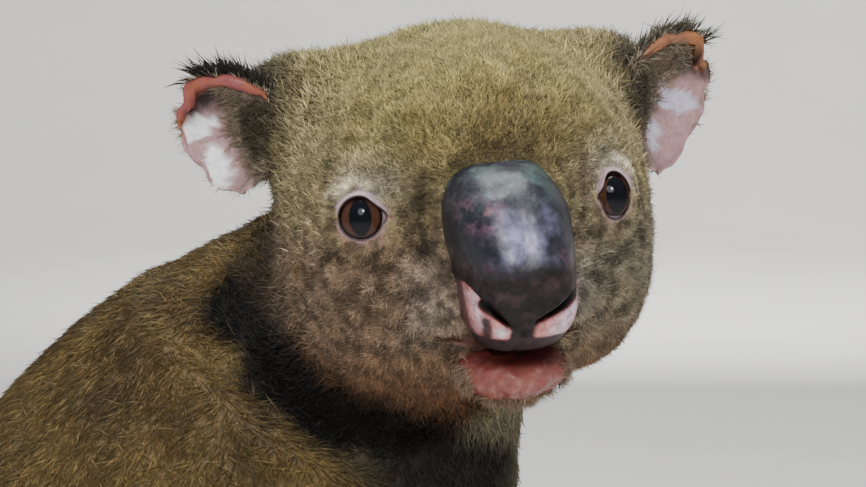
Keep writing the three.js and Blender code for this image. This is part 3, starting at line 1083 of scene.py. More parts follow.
def nose_colours(at):
    at = leaned(at)
    hole, wing = nose_masks(at)
    x, y, z = at.T
    # the pale grey is partly random wear and, over the bridge, partly a painted highlight
    bridge = np.exp(-(((x + 1) / 9) ** 2) - ((z + 3) / 8) ** 2)
    worn = 0.55 * fractal(at, 8, 1) + 0.6 * bridge
    colour = lerp(LEATHER_DARK, LEATHER_WORN_AND_GLOW, 0.75 * soft_step(0.42, 0.95, worn))
    # a painted green reflection on the top of the nose
    colour = lerp(colour, LEATHER_TOP_REFLECTION, 0.45 * soft_step(1, 10, z) * soft_step(0.3, 0.7, fractal(at, 6, 2)))
    rose_and_glint = np.exp(-(((x + 9) / 5) ** 2) - ((z - 2) / 4) ** 2)
    # pink mottles, and in the second spot a small painted highlight on the nose's right shoulder
    rose_and_glint += np.exp(-(((x + 12) / 3) ** 2) - ((z + 11.5) / 2) ** 2)
    rose_and_glint += 0.7 * np.exp(-(((x - 11) / 3) ** 2) - ((z + 9) / 4) ** 2)
    rose_and_glint = 0.42 * np.clip(rose_and_glint, 0, 1) * soft_step(0.3, 0.8, fractal(at, 2.8, 3))
    colour = lerp(colour, LEATHER_ROSE, rose_and_glint)
    colour = lerp(colour, LEATHER_DARK, 0.7 * soft_step(9, 14, x) * soft_step(-9, -4, z))
    # painted shade on the lower pad, which faces down
    colour = lerp(colour, LEATHER_LOW_SHADE, 0.92 * soft_step(-8, -14, z + 5 * (fractal(at, 5, 9) - 0.5)))
    flush = soft_step(-10, -14, z) * soft_step(0.45, 0.85, fractal(at, 3.4, 10))
    colour = lerp(colour, LEATHER_ROSE, 0.08 * flush)
    lower_rim = soft_step(-29.0, -30.6, z) * soft_step(-8, -14, y)
    colour = lerp(colour, RIM_GREY, lower_rim)
    cloud = fractal(at, 2.2, 4)
    pale = lerp(WING_ROSE * 0.9, WING_ROSE, soft_step(0.3, 0.7, cloud))
    across = groove(np.column_stack([x, z]), [(8.5, -28.5), (13.2, -21.5)], 2.3, 1.0)
    pale = lerp(pale, WING_LILAC, np.clip(across * (0.55 + 0.7 * cloud), 0, 1))
    strip = groove(np.column_stack([x, z]), [(-13.4, -18.5), (-11.6, -27.0)], 1.3, 0.6)
    pale = lerp(pale, WING_LILAC, np.clip(1.3 * strip * (0.4 + 0.8 * cloud), 0, 1))
    ragged = 0.3 * (fractal(at, 1.6, 8) - 0.5)
    # a painted white highlight on the right wing
    highlight_spot = np.exp(-(((x + 6.3) / 2.4) ** 2) - ((z + 28.0) / 1.7) ** 2) + ragged
    pale = lerp(pale, WING_HIGHLIGHT, 0.85 * soft_step(0.1, 0.95, highlight_spot))
    stain = groove(np.column_stack([x, z]), [(-10.6, -25), (-9.8, -30)], 1.5, 1.0) + ragged
    pale = lerp(pale, RIM_DARK_AND_SHADE, 0.9 * soft_step(0.1, 0.95, stain))
    colour = lerp(colour, pale, soft_step(0.1, 0.9, wing))
    colour = lerp(colour, NOSTRIL_RED, 0.8 * soft_step(2.4, 0.4, below_slit(at)) * wing * (np.abs(x) < 12))
    # painted shade on the lower sides of the nose, towards its outline
    colour = lerp(colour, RIM_DARK_AND_SHADE, 0.85 * soft_step(-23, -17, y) * soft_step(-10, -16, z))
    colour = lerp(colour, NOSTRIL_RED, soft_step(0.15, 0.4, hole) * soft_step(0.2, 1.2, below_slit(at)))
    # painted shade deep in the nostrils
    return lerp(colour, NOSTRIL_SHADE, soft_step(0.3, 0.6, hole))


def nose_gloss(at):
    """How wet the leather is: most on the bridge, least over and under the nostrils."""
    dull = 0.85 * soft_step(-10, -15, at[:, 2]) + 0.45 * soft_step(4, 11, at[:, 2])
    return 1 - dull


keep_colour(nose.data, "tint", nose_colours(plain))
keep(nose.data, "gloss", nose_gloss(plain))


def leather_finish():
    hide = Bench("nose_leather", coat_roughness=0.3)
    hide.shader.inputs["Specular IOR Level"].default_value = 0.22
    gloss = hide.own("gloss", "Fac")
    pebbles = hide.add(
        "ShaderNodeTexVoronoi",
        {"feature": "SMOOTH_F1"},
        {"Vector": hide.place(), "Scale": 1 / (0.9 * MM), "Smoothness": 0.6},
        "Distance",
    )
    wrinkles = hide.noise(2.2, 3, 0.55, 0.6)
    mottle = hide.noise(2.6, 5, 0.68, 0.4)
    colour = hide.shaded(hide.own("tint"), mottle.between(0.3, 0.7, 0.6, 1.4))
    rough = wrinkles.between(0.3, 0.7, 0.38, 0.52) + (1 - gloss) * 0.2
    relief = hide.bump(pebbles * 0.6 + wrinkles * 0.6, 0.22, 0.8)
    return hide.finish(base_color=colour, roughness=rough, normal=relief, coat_weight=gloss * 0.36)


nose.data.materials.append(leather_finish())
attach(nose, "root")
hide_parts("nose")
print("nose finished")

# %% [markdown]
# ## Chin
# Under the nose hangs a bare, moist lower lip. It starts as a fine egg as wide as the nose,
# lumpy with soft pads, with its upper side sunk where the mouth closes over it.

# %% The lower lip
LIP_MIDDLE = (MUZZLE_SHIFT - 0.2, -12.0, -42.2)
LIP_SIZE = (14.8, 12.0, 8.2)
LIP_PINK = srgb(126, 66, 58)
LIP_PALE = srgb(150, 106, 98)
LIP_DEEP_AND_SHADE = srgb(88, 30, 26)
MOUTH_GAP_SHADE = srgb(112, 50, 46)
LIP_SPOT = srgb(30, 16, 14)


def lip_form(unit):
    at = unit * LIP_SIZE
    at[:, 0] *= 1 + 0.06 * unit[:, 2]
    at[:, 1] += 2.2 * unit[:, 0] ** 2 + 6.5 * soft_step(0.0, 1.0, unit[:, 2])
    at[:, 2] -= 1.6 * soft_step(0.1, 1.0, unit[:, 2]) * np.exp(-((unit[:, 0] / 0.55) ** 2))
    lumps = 0.9 * waves(at, 5.2) + 0.45 * waves(at, 2.2)
    return at + unit * lumps[:, None] + np.array(LIP_MIDDLE)


def lip_colours(at, unit):
    pale = fractal(at, 2.6, 5)
    colour = lerp(LIP_PINK, LIP_PALE, 0.6 * soft_step(0.45, 0.85, pale))
    # the upper side of the lip, under the nose and in the mouth's gap, is darkened with painted shade
    colour = lerp(colour, LIP_DEEP_AND_SHADE, soft_step(0.0, 0.6, unit[:, 2]))
    colour = lerp(colour, MOUTH_GAP_SHADE, soft_step(0.45, 0.85, unit[:, 2]))
    # random darker patches of the lip's own colour
    colour = lerp(colour, LIP_DEEP_AND_SHADE, 0.25 * soft_step(0.6, 0.25, fractal(at, 4.5, 6)) * (unit[:, 2] < 0.3))
    spots = soft_step(0.72, 0.8, fractal(at, 0.9, 7)) * soft_step(-0.2, -0.7, unit[:, 2])
    return lerp(colour, LIP_SPOT, spots)


built = bmesh.new()
bmesh.ops.create_icosphere(built, subdivisions=6, radius=1.0)
unit = verts_of(built)
formed = lip_form(unit)
move(built.verts, from_head(formed))
chin = as_object(built, "lower_lip_skin")
keep_colour(chin.data, "tint", lip_colours(formed, unit))


def moist_finish():
    flesh = Bench("moist_lip", roughness=0.5, coat_weight=0.12, coat_roughness=0.25, subsurface_weight=0.12)
    flesh.shader.inputs["Subsurface Radius"].default_value = (0.004, 0.0012, 0.0008)
    veins = flesh.noise(1.4, 4, 0.6, 0.4)
    colour = flesh.shaded(flesh.own("tint"), veins.between(0.3, 0.7, 0.88, 1.1))
    relief = flesh.bump(flesh.noise(0.8, 3, 0.6), 0.22, 0.5)
    return flesh.finish(base_color=colour, normal=relief)


moist = moist_finish()
chin.data.materials.append(moist)
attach(chin, "root")
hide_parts("lower_lip")
print("chin:", len(chin.data.polygons), "faces")

# %% [markdown]
# ## Ears
# Each ear is a thin bowl that opens forwards and outwards. Fire has taken its fringe: the edge
# is swollen into a red roll, thickest at the top, and the bare inside is pink with white scars.
# One closed surface does all of this. It starts as a small ring at the middle of the back and
# is extruded outwards over the back, round the rolled edge, and in again to the middle.

# %% Form of the ears
EAR_ASIDE, EAR_BEHIND = 67, 54
EARS = {  # level above the eyes, size of the bare ear, and its middle within the ear's own frame
    "right": {"level": 26, "width": 30, "height": 35, "middle": (0.4, -4.6), "roll": 1.0, "lobe": 0.14},
    "left": {"level": 21, "width": 32, "height": 43, "middle": (0.0, -1.0), "roll": 0.95, "lobe": 0.0},
}
EAR_TURN, EAR_NOD, EAR_SPREAD = 26, 4, 14  # degrees from the head's own directions
ROLL_CORE = 0.965  # where the roll's middle runs, as a share of the outline
ROLL_AHEAD = 0.6
EAR_BACK_DEPTH = 12.0
EAR_WALL = 2.4
BACK_RINGS = (0.12, 0.3, 0.48, 0.64, 0.78, 0.89, 0.96)
ROLL_TURNS = (20, 55, 90, 125, 165, 205)  # degrees round the rolled edge
INNER_RINGS = (0.9, 0.82, 0.72, 0.6, 0.46, 0.32, 0.18)


def ear_axes(side):
    s = SIDES[side]
    turned = (
        Matrix.Rotation(math.radians(EAR_TURN * s), 3, "Z")
        @ Matrix.Rotation(math.radians(EAR_NOD), 3, "X")
        @ Matrix.Rotation(math.radians(EAR_SPREAD * s), 3, "Y")
    )
    return np.array(turned)


def ear_to_head(points, side):
    """From the ear's own frame, whose x points outwards, to the head's."""
    s = SIDES[side]
    own = points * (s, 1, 1)
    return own @ ear_axes(side).T + (EAR_ASIDE * s, EAR_BEHIND, EARS[side]["level"])


def head_to_ear(points, side):
    s = SIDES[side]
    own = (points - (EAR_ASIDE * s, EAR_BEHIND, EARS[side]["level"])) @ ear_axes(side)
    return own * (s, 1, 1)


def ear_edge(angle, side):
    """The ear's outline, by angle from the outer side, counted upwards."""
    form = EARS[side]
    wavy = 1 + 0.035 * np.sin(5 * angle + 1) + 0.025 * np.sin(9 * angle + 2.2) + 0.015 * np.sin(17 * angle)
    notch = 1 - 0.10 * np.exp(-(((angle - 0.95) / 0.10) ** 2))
    broad = 1 + 0.16 * np.sin(angle) + form["lobe"] * np.exp(-(((angle + 0.9) / 0.45) ** 2))
    x = form["width"] / 2 * np.cos(angle) * broad
    z = form["height"] / 2 * np.sin(angle)
    return x * wavy * notch, z * wavy * notch


def ear_point(angle, share, inwards, side):
    """A point on the back (inwards False) or the inside of the bowl, at a share of its outline."""
    x, z = ear_edge(angle, side)
    lean = 3.0 * soft_step(0.1, 1.0, np.sin(angle)) * share**3
    depth = EAR_BACK_DEPTH * np.sqrt(np.maximum(1 - (share * 0.97) ** 2, 0)) - 3.0 - lean
    if inwards:
        depth = depth - EAR_WALL + 0.5 * np.sin(share * 9 + 2 * angle) * share
    mid = EARS[side]["middle"]
    return np.column_stack([mid[0] + x * share, depth, mid[1] + z * share])


def roll_thickness(angle, side):
    thick = (0.5 + 1.5 * soft_step(0.2, 0.9, np.sin(angle))) * EARS[side]["roll"]
    return thick * (1 + 0.12 * np.sin(6 * angle + 0.5) + 0.08 * np.sin(13 * angle))


def rolled_edge(angle, turn, side):
    """A point on the swollen edge, by the angle round the ear and the turn round the roll."""
    thick = roll_thickness(angle, side)
    core = ear_point(angle, ROLL_CORE, False, side)
    x, z = ear_edge(angle, side)
    outwards = np.column_stack([x, np.zeros_like(x), z])
    outwards /= np.linalg.norm(outwards, axis=1, keepdims=True)
    t = math.radians(turn)
    forwards = np.outer(thick * math.sin(t) + ROLL_AHEAD, (0, -1, 0))
    return core + outwards * (thick * math.cos(t))[:, None] + forwards


def ear(side):
    built = bmesh.new()
    made = bmesh.ops.create_circle(built, segments=120, radius=0.06, cap_ends=True)
    angles_at_start = np.array([math.atan2(v.co.y, v.co.x) for v in made["verts"]])
    move(made["verts"], ear_point(angles_at_start, 0.05, False, side))
    edges = list(built.edges)
    mid = EARS[side]["middle"]

    def angle_of(points):
        half_width, half_height = EARS[side]["width"] / 2, EARS[side]["height"] / 2
        return np.arctan2((points[:, 2] - mid[1]) / half_height, (points[:, 0] - mid[0]) / half_width)

    for share in BACK_RINGS:
        edges = grow_ring(built, edges, lambda p: ear_point(angle_of(p), share, False, side))
    for turn in ROLL_TURNS:
        edges = grow_ring(built, edges, lambda p: rolled_edge(angle_of(p), turn, side))
    for share in INNER_RINGS:
        edges = grow_ring(built, edges, lambda p: ear_point(angle_of(p), share, True, side))
    bmesh.ops.holes_fill(built, edges=edges)
    bmesh.ops.recalc_face_normals(built, faces=built.faces)
    return built


# %% [markdown]
# ## The ear's colours
# The roll is raw red with orange tips, the hollow under it grey and darkened with painted
# shadow, the half towards the crown dark with fur, and two white patches lie on a pink ground.
# They are placed in the ear's own frame, so that both ears can have them at their own spots.

# %% Colours of the ears
EAR_ROLL = {"right": srgb(150, 82, 82), "left": srgb(150, 96, 72)}
EAR_ROLL_ORANGE = {"right": srgb(148, 84, 60), "left": srgb(154, 102, 62)}
EAR_PINK = srgb(182, 142, 144)
EAR_GREY = srgb(118, 106, 98)
EAR_SHADE_AND_DARK_FUR = {"right": srgb(22, 16, 13), "left": srgb(12, 10, 7)}
EAR_WHITE = {"right": srgb(252, 252, 254), "left": srgb(196, 190, 206)}
EAR_BACK = srgb(56, 50, 42)
SCARS = {  # outwards and upwards from the bowl's middle, then half width and half height
    "right": [(13.6, 5.2, 8.0, 4.0), (8.6, -7.4, 2.7, 7.0)],
    "left": [(8.0, 2.0, 7.0, 3.8), (1.5, -9.5, 2.6, 5.0)],
}


def ear_map(own, side):
    """Places on an ear: across, up, angle, share of the outline, 1 on its back, 1 on its roll."""
    mid = EARS[side]["middle"]
    x, z = own[:, 0] - mid[0], own[:, 2] - mid[1]
    angle = np.arctan2(z, x)
    edge_x, edge_z = ear_edge(angle, side)
    share = np.hypot(x, z) / np.hypot(edge_x, edge_z)
    shell = ear_point(angle, np.clip(share, 0, 1), False, side)
    core = ear_point(angle, ROLL_CORE, False, side) - (0, ROLL_AHEAD, 0)
    from_core = np.linalg.norm(own - core, axis=1) / roll_thickness(angle, side)
    on_roll = soft_step(1.5, 1.15, from_core) * (own[:, 1] < core[:, 1] + 0.8)
    back = soft_step(-1.1, -0.3, own[:, 1] - shell[:, 1]) * (share < 0.99) * (1 - on_roll)
    return x, z, angle, share, back, on_roll


def ear_colours(own, side):
    x, z, angle, _, back, on_roll = ear_map(own, side)
    blotch = fractal(own, 4.5, 11)
    colour = lerp(EAR_GREY, EAR_PINK, soft_step(-6, 8, x) * (0.5 + 0.6 * blotch))
    ragged = 0.28 * (fractal(own, 2.6, 12) - 0.5) * 2
    for cx, cz, rx, rz in SCARS[side]:
        inside = np.hypot((x - cx) / rx, (z - cz) / rz) + ragged
        colour = lerp(colour, EAR_WHITE[side], soft_step(1.05, 0.85, inside))
    top = EARS[side]["height"] * 0.5
    # painted shadow under the swollen roll
    colour = lerp(colour, EAR_SHADE_AND_DARK_FUR[side], 0.95 * soft_step(top * 0.36, top * 0.6, z + 3 * (blotch - 0.5)))
    # dark fur over the half towards the crown
    colour = lerp(colour, EAR_SHADE_AND_DARK_FUR[side], 0.85 * soft_step(-1, -7, x) * soft_step(0.25, 0.5, blotch + 0.1))
    roll = lerp(EAR_ROLL[side], EAR_ROLL_ORANGE[side], soft_step(0.42, 0.66, fractal(own, 6, 13)))
    roll = lerp(EAR_PINK, roll, soft_step(0.0, 0.5, np.sin(angle)))
    colour = lerp(colour, roll, on_roll)
    return lerp(colour, EAR_BACK, back)


def ear_finish():
    thin = Bench("burnt_ear", roughness=0.5, coat_weight=0.08, coat_roughness=0.3, subsurface_weight=0.15)
    thin.shader.inputs["Specular IOR Level"].default_value = 0.25
    thin.shader.inputs["Subsurface Radius"].default_value = (0.003, 0.001, 0.0007)
    veins = thin.noise(1.8, 4, 0.6, 0.8)
    colour = thin.shaded(thin.own("tint"), veins.between(0.3, 0.7, 0.82, 1.12))
    relief = thin.bump(thin.noise(1.1, 4, 0.62), 0.5, 0.6)
    return thin.finish(base_color=colour, normal=relief)


burnt = ear_finish()
ears = {}
for side in SIDES:
    built = ear(side)
    own = verts_of(built)
    crust = 0.35 * waves(own, 2.4)
    crusted = own + np.column_stack([crust, -crust, crust])
    move(built.verts, from_head(ear_to_head(crusted, side)))
    bmesh.ops.recalc_face_normals(built, faces=built.faces)
    ears[side] = as_object(built, f"ear_{side}_shell")
    unwrap(ears[side])
    keep_colour(ears[side].data, "tint", ear_colours(own, side))
    ears[side].data.materials.append(burnt)
    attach(ears[side], "root")
    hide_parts(f"ear_{side}")
print("ears:", {side: len(made.data.polygons) for side, made in ears.items()}, "faces")

# %% [markdown]
# ## Claws
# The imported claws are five-sided horns of the right length. Two rounds of subdivision make
# them round. It also draws them in, so they are swollen first by the width that it takes.

# %% Claws
CLAW_SWELL = 0.35 * MM
HORN = srgb(38, 33, 30)
HORN_WORN = srgb(104, 92, 78)


def horn_finish():
    horn = Bench("claw_horn", roughness=0.38, coat_weight=0.2, coat_roughness=0.25)
    growth = horn.noise(1.2, 4, 0.6, 1.5)
    worn = horn.noise(5.0, 3)
    colour = horn.mix(growth.between(0.4, 0.75) * worn.between(0.35, 0.7), rgba(HORN), rgba(HORN_WORN))
    rough = growth.between(0.3, 0.7, 0.3, 0.55)
    return horn.finish(base_color=colour, roughness=rough, normal=horn.bump(growth, 0.15, 0.5))


horn = horn_finish()
for limb in ("hand", "foot"):
    names = sorted(name for name in nodes if name.startswith(f"{limb}_claw_"))
    claws = as_object(joined(names, CLAW_SWELL), f"{limb}_claws")
    rounding = claws.modifiers.new("round", "SUBSURF")
    rounding.levels = rounding.render_levels = 2
    baked(claws)
    claws.data.materials.append(horn)
    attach(claws, "root")
    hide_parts(*names)
    print(limb, "claws:", len(names))

# %% [markdown]
# ## Markings
# One function says what colour the coat has at any place. The skin takes it at its vertices and
# every tuft takes it at its root, so that skin and coat always agree. The head is olive and
# tan on the crown, greyer on the cheeks and brown under the jaw; the back is dark and singed;
# throat, chest and the inner sides of the limbs are pale. Over this, shade is painted in: near
# black under the jaw, low on the back of the head, along the fold between head and neck and in
# the hollow of the throat, and dark brown in the partings and round the nose.

# %% Colours of the coat
CROWN = srgb(144, 133, 83)
BROW = srgb(152, 138, 100)
CHEEK = {"right": srgb(152, 129, 105), "left": srgb(148, 138, 116)}
JAW = srgb(122, 86, 57)
BRIDGE = srgb(108, 92, 56)
MUZZLE = srgb(172, 158, 144)
THROAT_SHADE = srgb(16, 12, 8)
EYE_RING = srgb(212, 200, 178)
EAR_BASE = srgb(80, 72, 52)
BACK = srgb(121, 101, 60)
BACK_DARK = srgb(98, 80, 50)
NAPE = srgb(82, 67, 43)
DARK_FUR_AND_SHADE = srgb(60, 44, 30)
CHEST = srgb(134, 127, 103)
PAW = srgb(98, 86, 66)
LID_PINK = srgb(152, 128, 134)
LID_RED = srgb(132, 90, 84)
LID_EDGE = srgb(44, 24, 24)
CORNER_RED = srgb(96, 34, 34)
MOUTH_RED = srgb(104, 58, 48)


# painted shade is laid along this line
SHADED = [  # across and up, along the dark fold between the head and the neck
    (-60, -4), (-59, -26), (-47, -50), (-28, -70), (-6, -80),
]


def blob(at, centre, size):
    return np.exp(-np.sum(((at - np.array(centre)) / np.array(size)) ** 2, axis=1))


def head_colours(at):
    x, y, z = at.T
    cheek = lerp(CHEEK["right"], CHEEK["left"], soft_step(-6, 10, x))
    colour = lerp(JAW, cheek, soft_step(-56, -24, z))
    colour = lerp(colour, BROW, soft_step(-14, 6, z))
    colour = lerp(colour, CROWN, soft_step(2, 26, z) * soft_step(60, 25, np.abs(x)))
    colour = lerp(colour, BRIDGE, 0.85 * blob(at, (3, -8, 22), (20, 16, 11)))
    colour = lerp(colour, BRIDGE, 0.2 * blob(at, (-19, -10, -2), (7, 9, 11)))
    colour = lerp(colour, NAPE, soft_step(38, 62, y) * soft_step(16, -8, z))
    # painted shade low on the back of the head and under the jaw
    colour = lerp(colour, THROAT_SHADE, 0.85 * soft_step(24, 44, y) * soft_step(-26, -48, z))
    colour = lerp(colour, THROAT_SHADE, soft_step(1, 9, under_jaw(at)) * soft_step(0, 12, y))
    # painted shade in the partings of the coat
    colour = lerp(colour, DARK_FUR_AND_SHADE, 0.7 * parting(at))
    # darker fur and painted contact shade round the nose
    round_nose = np.hypot((x - MUZZLE_SHIFT) / 18.5, (z + 11) / 27) + 0.25 * (fractal(at, 3, 28) - 0.5)
    round_nose_dark_and_shade = soft_step(1.24, 1.06, round_nose) * np.maximum(soft_step(4, -6, x), soft_step(4, 12, z))
    colour = lerp(colour, DARK_FUR_AND_SHADE, 0.38 * round_nose_dark_and_shade * (y < 4))
    for side, s in SIDES.items():
        colour = lerp(colour, EYE_RING, 0.7 * blob(at, (33 * s, 0, 9), (10, 12, 5)))
        colour = lerp(colour, MUZZLE, 0.75 * blob(at, (19 * s, -10, -22), (7, 12, 9)))
        base = np.linalg.norm((at - (60 * s, 56, EARS[side]["level"] + 2)) / (24, 22, 26), axis=1)
        colour = lerp(colour, EAR_BASE, soft_step(1.1, 0.55, base + 0.25 * (fractal(at, 9, 21) - 0.5)))
    return colour


def body_colours(places, kinds, side):
    x, y, z = (places / MM).T
    patches = fractal(places / MM, 34, 22)
    colour = lerp(BACK, BACK_DARK, soft_step(0.35, 0.7, patches))
    front = soft_step(10, -30, y) * soft_step(66, 34, np.abs(x)) * soft_step(60, 130, z)
    colour = lerp(colour, CHEST, 0.9 * front)
    inner = soft_step(44, 30, np.abs(x)) * soft_step(40, -40, y)
    colour = lerp(colour, CHEST, 0.6 * inner * (np.abs(side) > 0))
    seat = soft_step(46, 12, z) * soft_step(0, 60, y)
    colour = lerp(colour, CHEST, 0.35 * seat)
    return lerp(colour, PAW, np.clip(on_parts(kinds, "hand", "foot"), 0, 1))


def markings(places, kinds, side):
    """The coat's colour at each place, before the small differences between tufts."""
    at = to_head(places)
    on_head = soft_step(0.25, 0.75, on_parts(kinds, "head"))
    body = body_colours(places, kinds, side)
    body = lerp(body, CHEST, 0.5 * blob(at, (24, 22, -74), (14, 26, 22)))
    colour = body + (head_colours(at) - body) * on_head[:, None]
    # painted shade along the fold between head and neck, and in the hollow of the throat
    fold_shade = np.max([groove(at[:, [0, 2]], ends, 9.0, 1.0) for ends in zip(SHADED, SHADED[1:])], axis=0)
    fold_shade = fold_shade * soft_step(28, 42, at[:, 1]) * (0.38 + 0.57 * soft_step(-30, -64, at[:, 2]))
    ragged = 8 * (fractal(at, 7, 30) - 0.5)
    over = at[:, 2] + 71 + 0.56 * at[:, 0] + ragged  # over the hollow of the throat
    hollow = soft_step(4, -5, over) * soft_step(-140, -84, at[:, 2]) * soft_step(88, 48, at[:, 1])
    hollow = hollow * soft_step(-52, -26, at[:, 0] + ragged) * soft_step(42, 10, at[:, 0] + ragged)
    fold_shade = np.maximum(fold_shade, 0.93 * hollow)
    colour = lerp(colour, THROAT_SHADE, fold_shade)
    cheeks = on_head * soft_step(18, -6, at[:, 2]) * soft_step(50, 20, at[:, 1])
    patchy = 0.2 + 0.38 * cheeks
    shade = 1 + patchy * (2 * soft_step(0.25, 0.75, fractal(places / MM, 3.4, 23)) - 1)
    warm = (fractal(places / MM, 11, 24) - 0.5)[:, None] * np.array([0.10, 0.0, -0.16])
    return np.clip(colour * shade[:, None] * (1 + warm), 0.002, 1)


def bareness(at):
    """Where the face has no fur, from 0 to 1, and the bare skin's colour."""
    bare = np.zeros(len(at))
    colour = np.tile(LID_PINK, (len(at), 1)).astype(float)
    for side in SIDES:
        inwards, up, out = ((at - EYES[side]) @ eye_axes(side).T).T
        angle = np.arctan2(up, inwards)
        past = np.hypot(inwards, up) - opening_radius(angle, side)
        upper = soft_step(-0.1, 0.6, np.sin(angle))
        lower = soft_step(0.1, -0.5, np.sin(angle))
        outer = soft_step(-0.3, -0.9, np.cos(angle)) * (1 - upper) * (1 - lower)
        ragged = 1.1 * (fractal(at, 1.5, 26) - 0.5)
        width = 0.35 + 1.5 * upper + 0.45 * lower - 0.2 * outer + ragged
        here = soft_step(width + 0.5, width - 0.3, past) * (out > -4) * (past < 9)
        sore = lower * soft_step(5.0, 2.5, past) * soft_step(0.3, 0.7, fractal(at, 1.8, 27)) * (out > -4)
        corner = np.exp(-(((up + 0.15 * inwards - 1) / 0.7) ** 2)) * soft_step(5.5, 6.3, inwards)
        corner = corner * soft_step(10, 8.4, inwards) * (out > -4)
        here = np.maximum(np.maximum(here, 0.5 * sore), 0.9 * corner)
        red = lower * soft_step(0.3, 1.0, past) * (0.6 + 0.6 * fractal(at, 1.6, 25))
        tone = lerp(LID_PINK, LID_RED, np.clip(red, 0, 1))
        tone = lerp(tone, LID_EDGE, soft_step(0.75, 0.3, past))
        tone = lerp(tone, CORNER_RED, 0.85 * corner) * (0.75 + 0.5 * fractal(at, 1.1, 29))[:, None]
        colour = np.where((here > bare)[:, None], tone, colour)
        bare = np.maximum(bare, here)
    crease = mouth_line(at, 1.5)
    colour = np.where((crease > bare)[:, None], MOUTH_RED, colour)
    return np.maximum(bare, 0.85 * crease), colour


# %% Colour the skin
def read_values(mesh, name, width=1):
    flat = np.empty(len(mesh.vertices) * width, np.float32)
    mesh.attributes[name].data.foreach_get("vector" if width > 1 else "value", flat)
    return flat.reshape(-1, width).astype(float) if width > 1 else flat.astype(float)


skin_places = read(skin.data)
skin_kinds = np.column_stack([read_values(skin.data, f"on_{kind}") for kind in PARTS])
skin_side = read_values(skin.data, "side")
skin_lie = read_values(skin.data, "lie", 3)
bare, bare_colour = bareness(to_head(skin_places))
fur_colour = markings(skin_places, skin_kinds, skin_side)
keep_colour(skin.data, "tint", lerp(fur_colour * 0.6, bare_colour, bare))
keep(skin.data, "bare", bare)
print("bare skin on", int((bare > 0.5).sum()), "vertices")


def skin_finish():
    under = Bench("skin_and_underfur", roughness=0.8)
    bald = under.own("bare", "Fac")
    wool = under.noise(0.7, 4, 0.7, 0.5)
    locks = under.noise(3.2, 3, 0.6, 1.2)
    fuzz = (wool * 0.6 + locks * 0.4).between(0.3, 0.7, 0.7, 1.3)
    flesh = under.noise(1.1, 4, 0.6).between(0.3, 0.7, 0.86, 1.1)
    shade = flesh * bald + fuzz * (1 - bald)
    colour = under.shaded(under.own("tint"), shade)
    height = (wool * 0.5 + locks) * (1 - bald) + under.noise(0.6, 3) * 0.25 * bald
    rough = bald.between(0, 1, 0.9, 0.45)
    return under.finish(base_color=colour, roughness=rough, normal=under.bump(height, 0.8, 0.8))


skin.data.materials.append(skin_finish())

# %% [markdown]
# ## Tufts
# A koala's coat is short dense wool. A hair system would not survive export, so the coat is
# real mesh: one small closed tuft is made with operators, and arrays then set copies of it on
# the skin, each turned the way the coat lies there, bent down towards the skin, and drawn to
# its neighbours in small locks. The head has the finest tufts, because it is seen closest.


# %% The shape of one tuft
def tuft_shape(bends):
    """A thin closed spike along z from 0 to 1, with some rings between its root and its tip."""
    built = bmesh.new()
    bmesh.ops.create_circle(built, segments=3, radius=0.5, cap_ends=True)
    edges = list(built.edges)
    heights = [(step + 1) / (bends + 1) for step in range(bends + 1)]
    for height in heights:
        size = 1.15 if height < 0.7 else 0.0
        base = [v.co.copy() for v in built.verts][:3]
        edges = grow_ring(
            built, edges, lambda p: [Vector((q[0] * size, q[1] * size, height)) for q in flat_ring(p, base)]
        )
    bmesh.ops.remove_doubles(built, verts=built.verts, dist=1e-5)
    bmesh.ops.recalc_face_normals(built, faces=built.faces)
    bmesh.ops.triangulate(built, faces=built.faces)
    built.verts.index_update()
    shape = verts_of(built)
    faces = np.array([[v.index for v in f.verts] for f in built.faces])
    built.free()
    return shape, faces


def flat_ring(points, base):
    """The base ring's own corner above which each point lies."""
    corners = np.array(base)
    turn = np.arctan2(points[:, 1], points[:, 0])
    own = np.arctan2(corners[:, 1], corners[:, 0])
    nearest = np.abs(np.angle(np.exp(1j * (turn[:, None] - own)))).argmin(1)
    return corners[nearest]


TUFT = tuft_shape(0)
LONG_TUFT = tuft_shape(1)
print("a tuft has", len(TUFT[1]), "faces and a long one", len(LONG_TUFT[1]))


# %% Where tufts can grow
class Ground:
    """A mesh as arrays: its triangles, and values at any spot on them."""

    def __init__(self, mesh, uv_name):
        mesh.calc_loop_triangles()
        count = len(mesh.loop_triangles)
        corners, loops = np.empty(count * 3, np.int32), np.empty(count * 3, np.int32)
        mesh.loop_triangles.foreach_get("vertices", corners)
        mesh.loop_triangles.foreach_get("loops", loops)
        self.corners, self.loops = corners.reshape(-1, 3), loops.reshape(-1, 3)
        self.places, self.normals = read(mesh), read(mesh, "vector")
        uv = np.empty(len(mesh.loops) * 2, np.float32)
        mesh.uv_layers[uv_name].data.foreach_get("uv", uv)
        self.uv = uv.reshape(-1, 2).astype(float)
        a, b, c = (self.places[self.corners[:, i]] for i in range(3))
        self.areas = np.linalg.norm(np.cross(b - a, c - a), axis=1) / 2

    def sow(self, weight, count, seed):
        """Spots spread over the surface, thicker where the weight of the vertices is higher."""
        random = np.random.default_rng(seed)
        share = np.cumsum(self.areas * weight[self.corners].mean(1))
        spots = (np.arange(count) + random.random(count)) / count * share[-1]
        self.picked = np.minimum(np.searchsorted(share, spots), len(share) - 1)
        u, v = random.random(count), random.random(count)
        over = u + v > 1
        u[over], v[over] = 1 - u[over], 1 - v[over]
        self.bary = np.column_stack([1 - u - v, u, v])
        return random

    def at_spots(self, values):
        values = values.reshape(len(self.places), -1)
        found = sum(values[self.corners[self.picked, i]] * self.bary[:, i : i + 1] for i in range(3))
        return found if values.shape[1] > 1 else found[:, 0]

    def uv_at_spots(self):
        return sum(self.uv[self.loops[self.picked, i]] * self.bary[:, i : i + 1] for i in range(3))


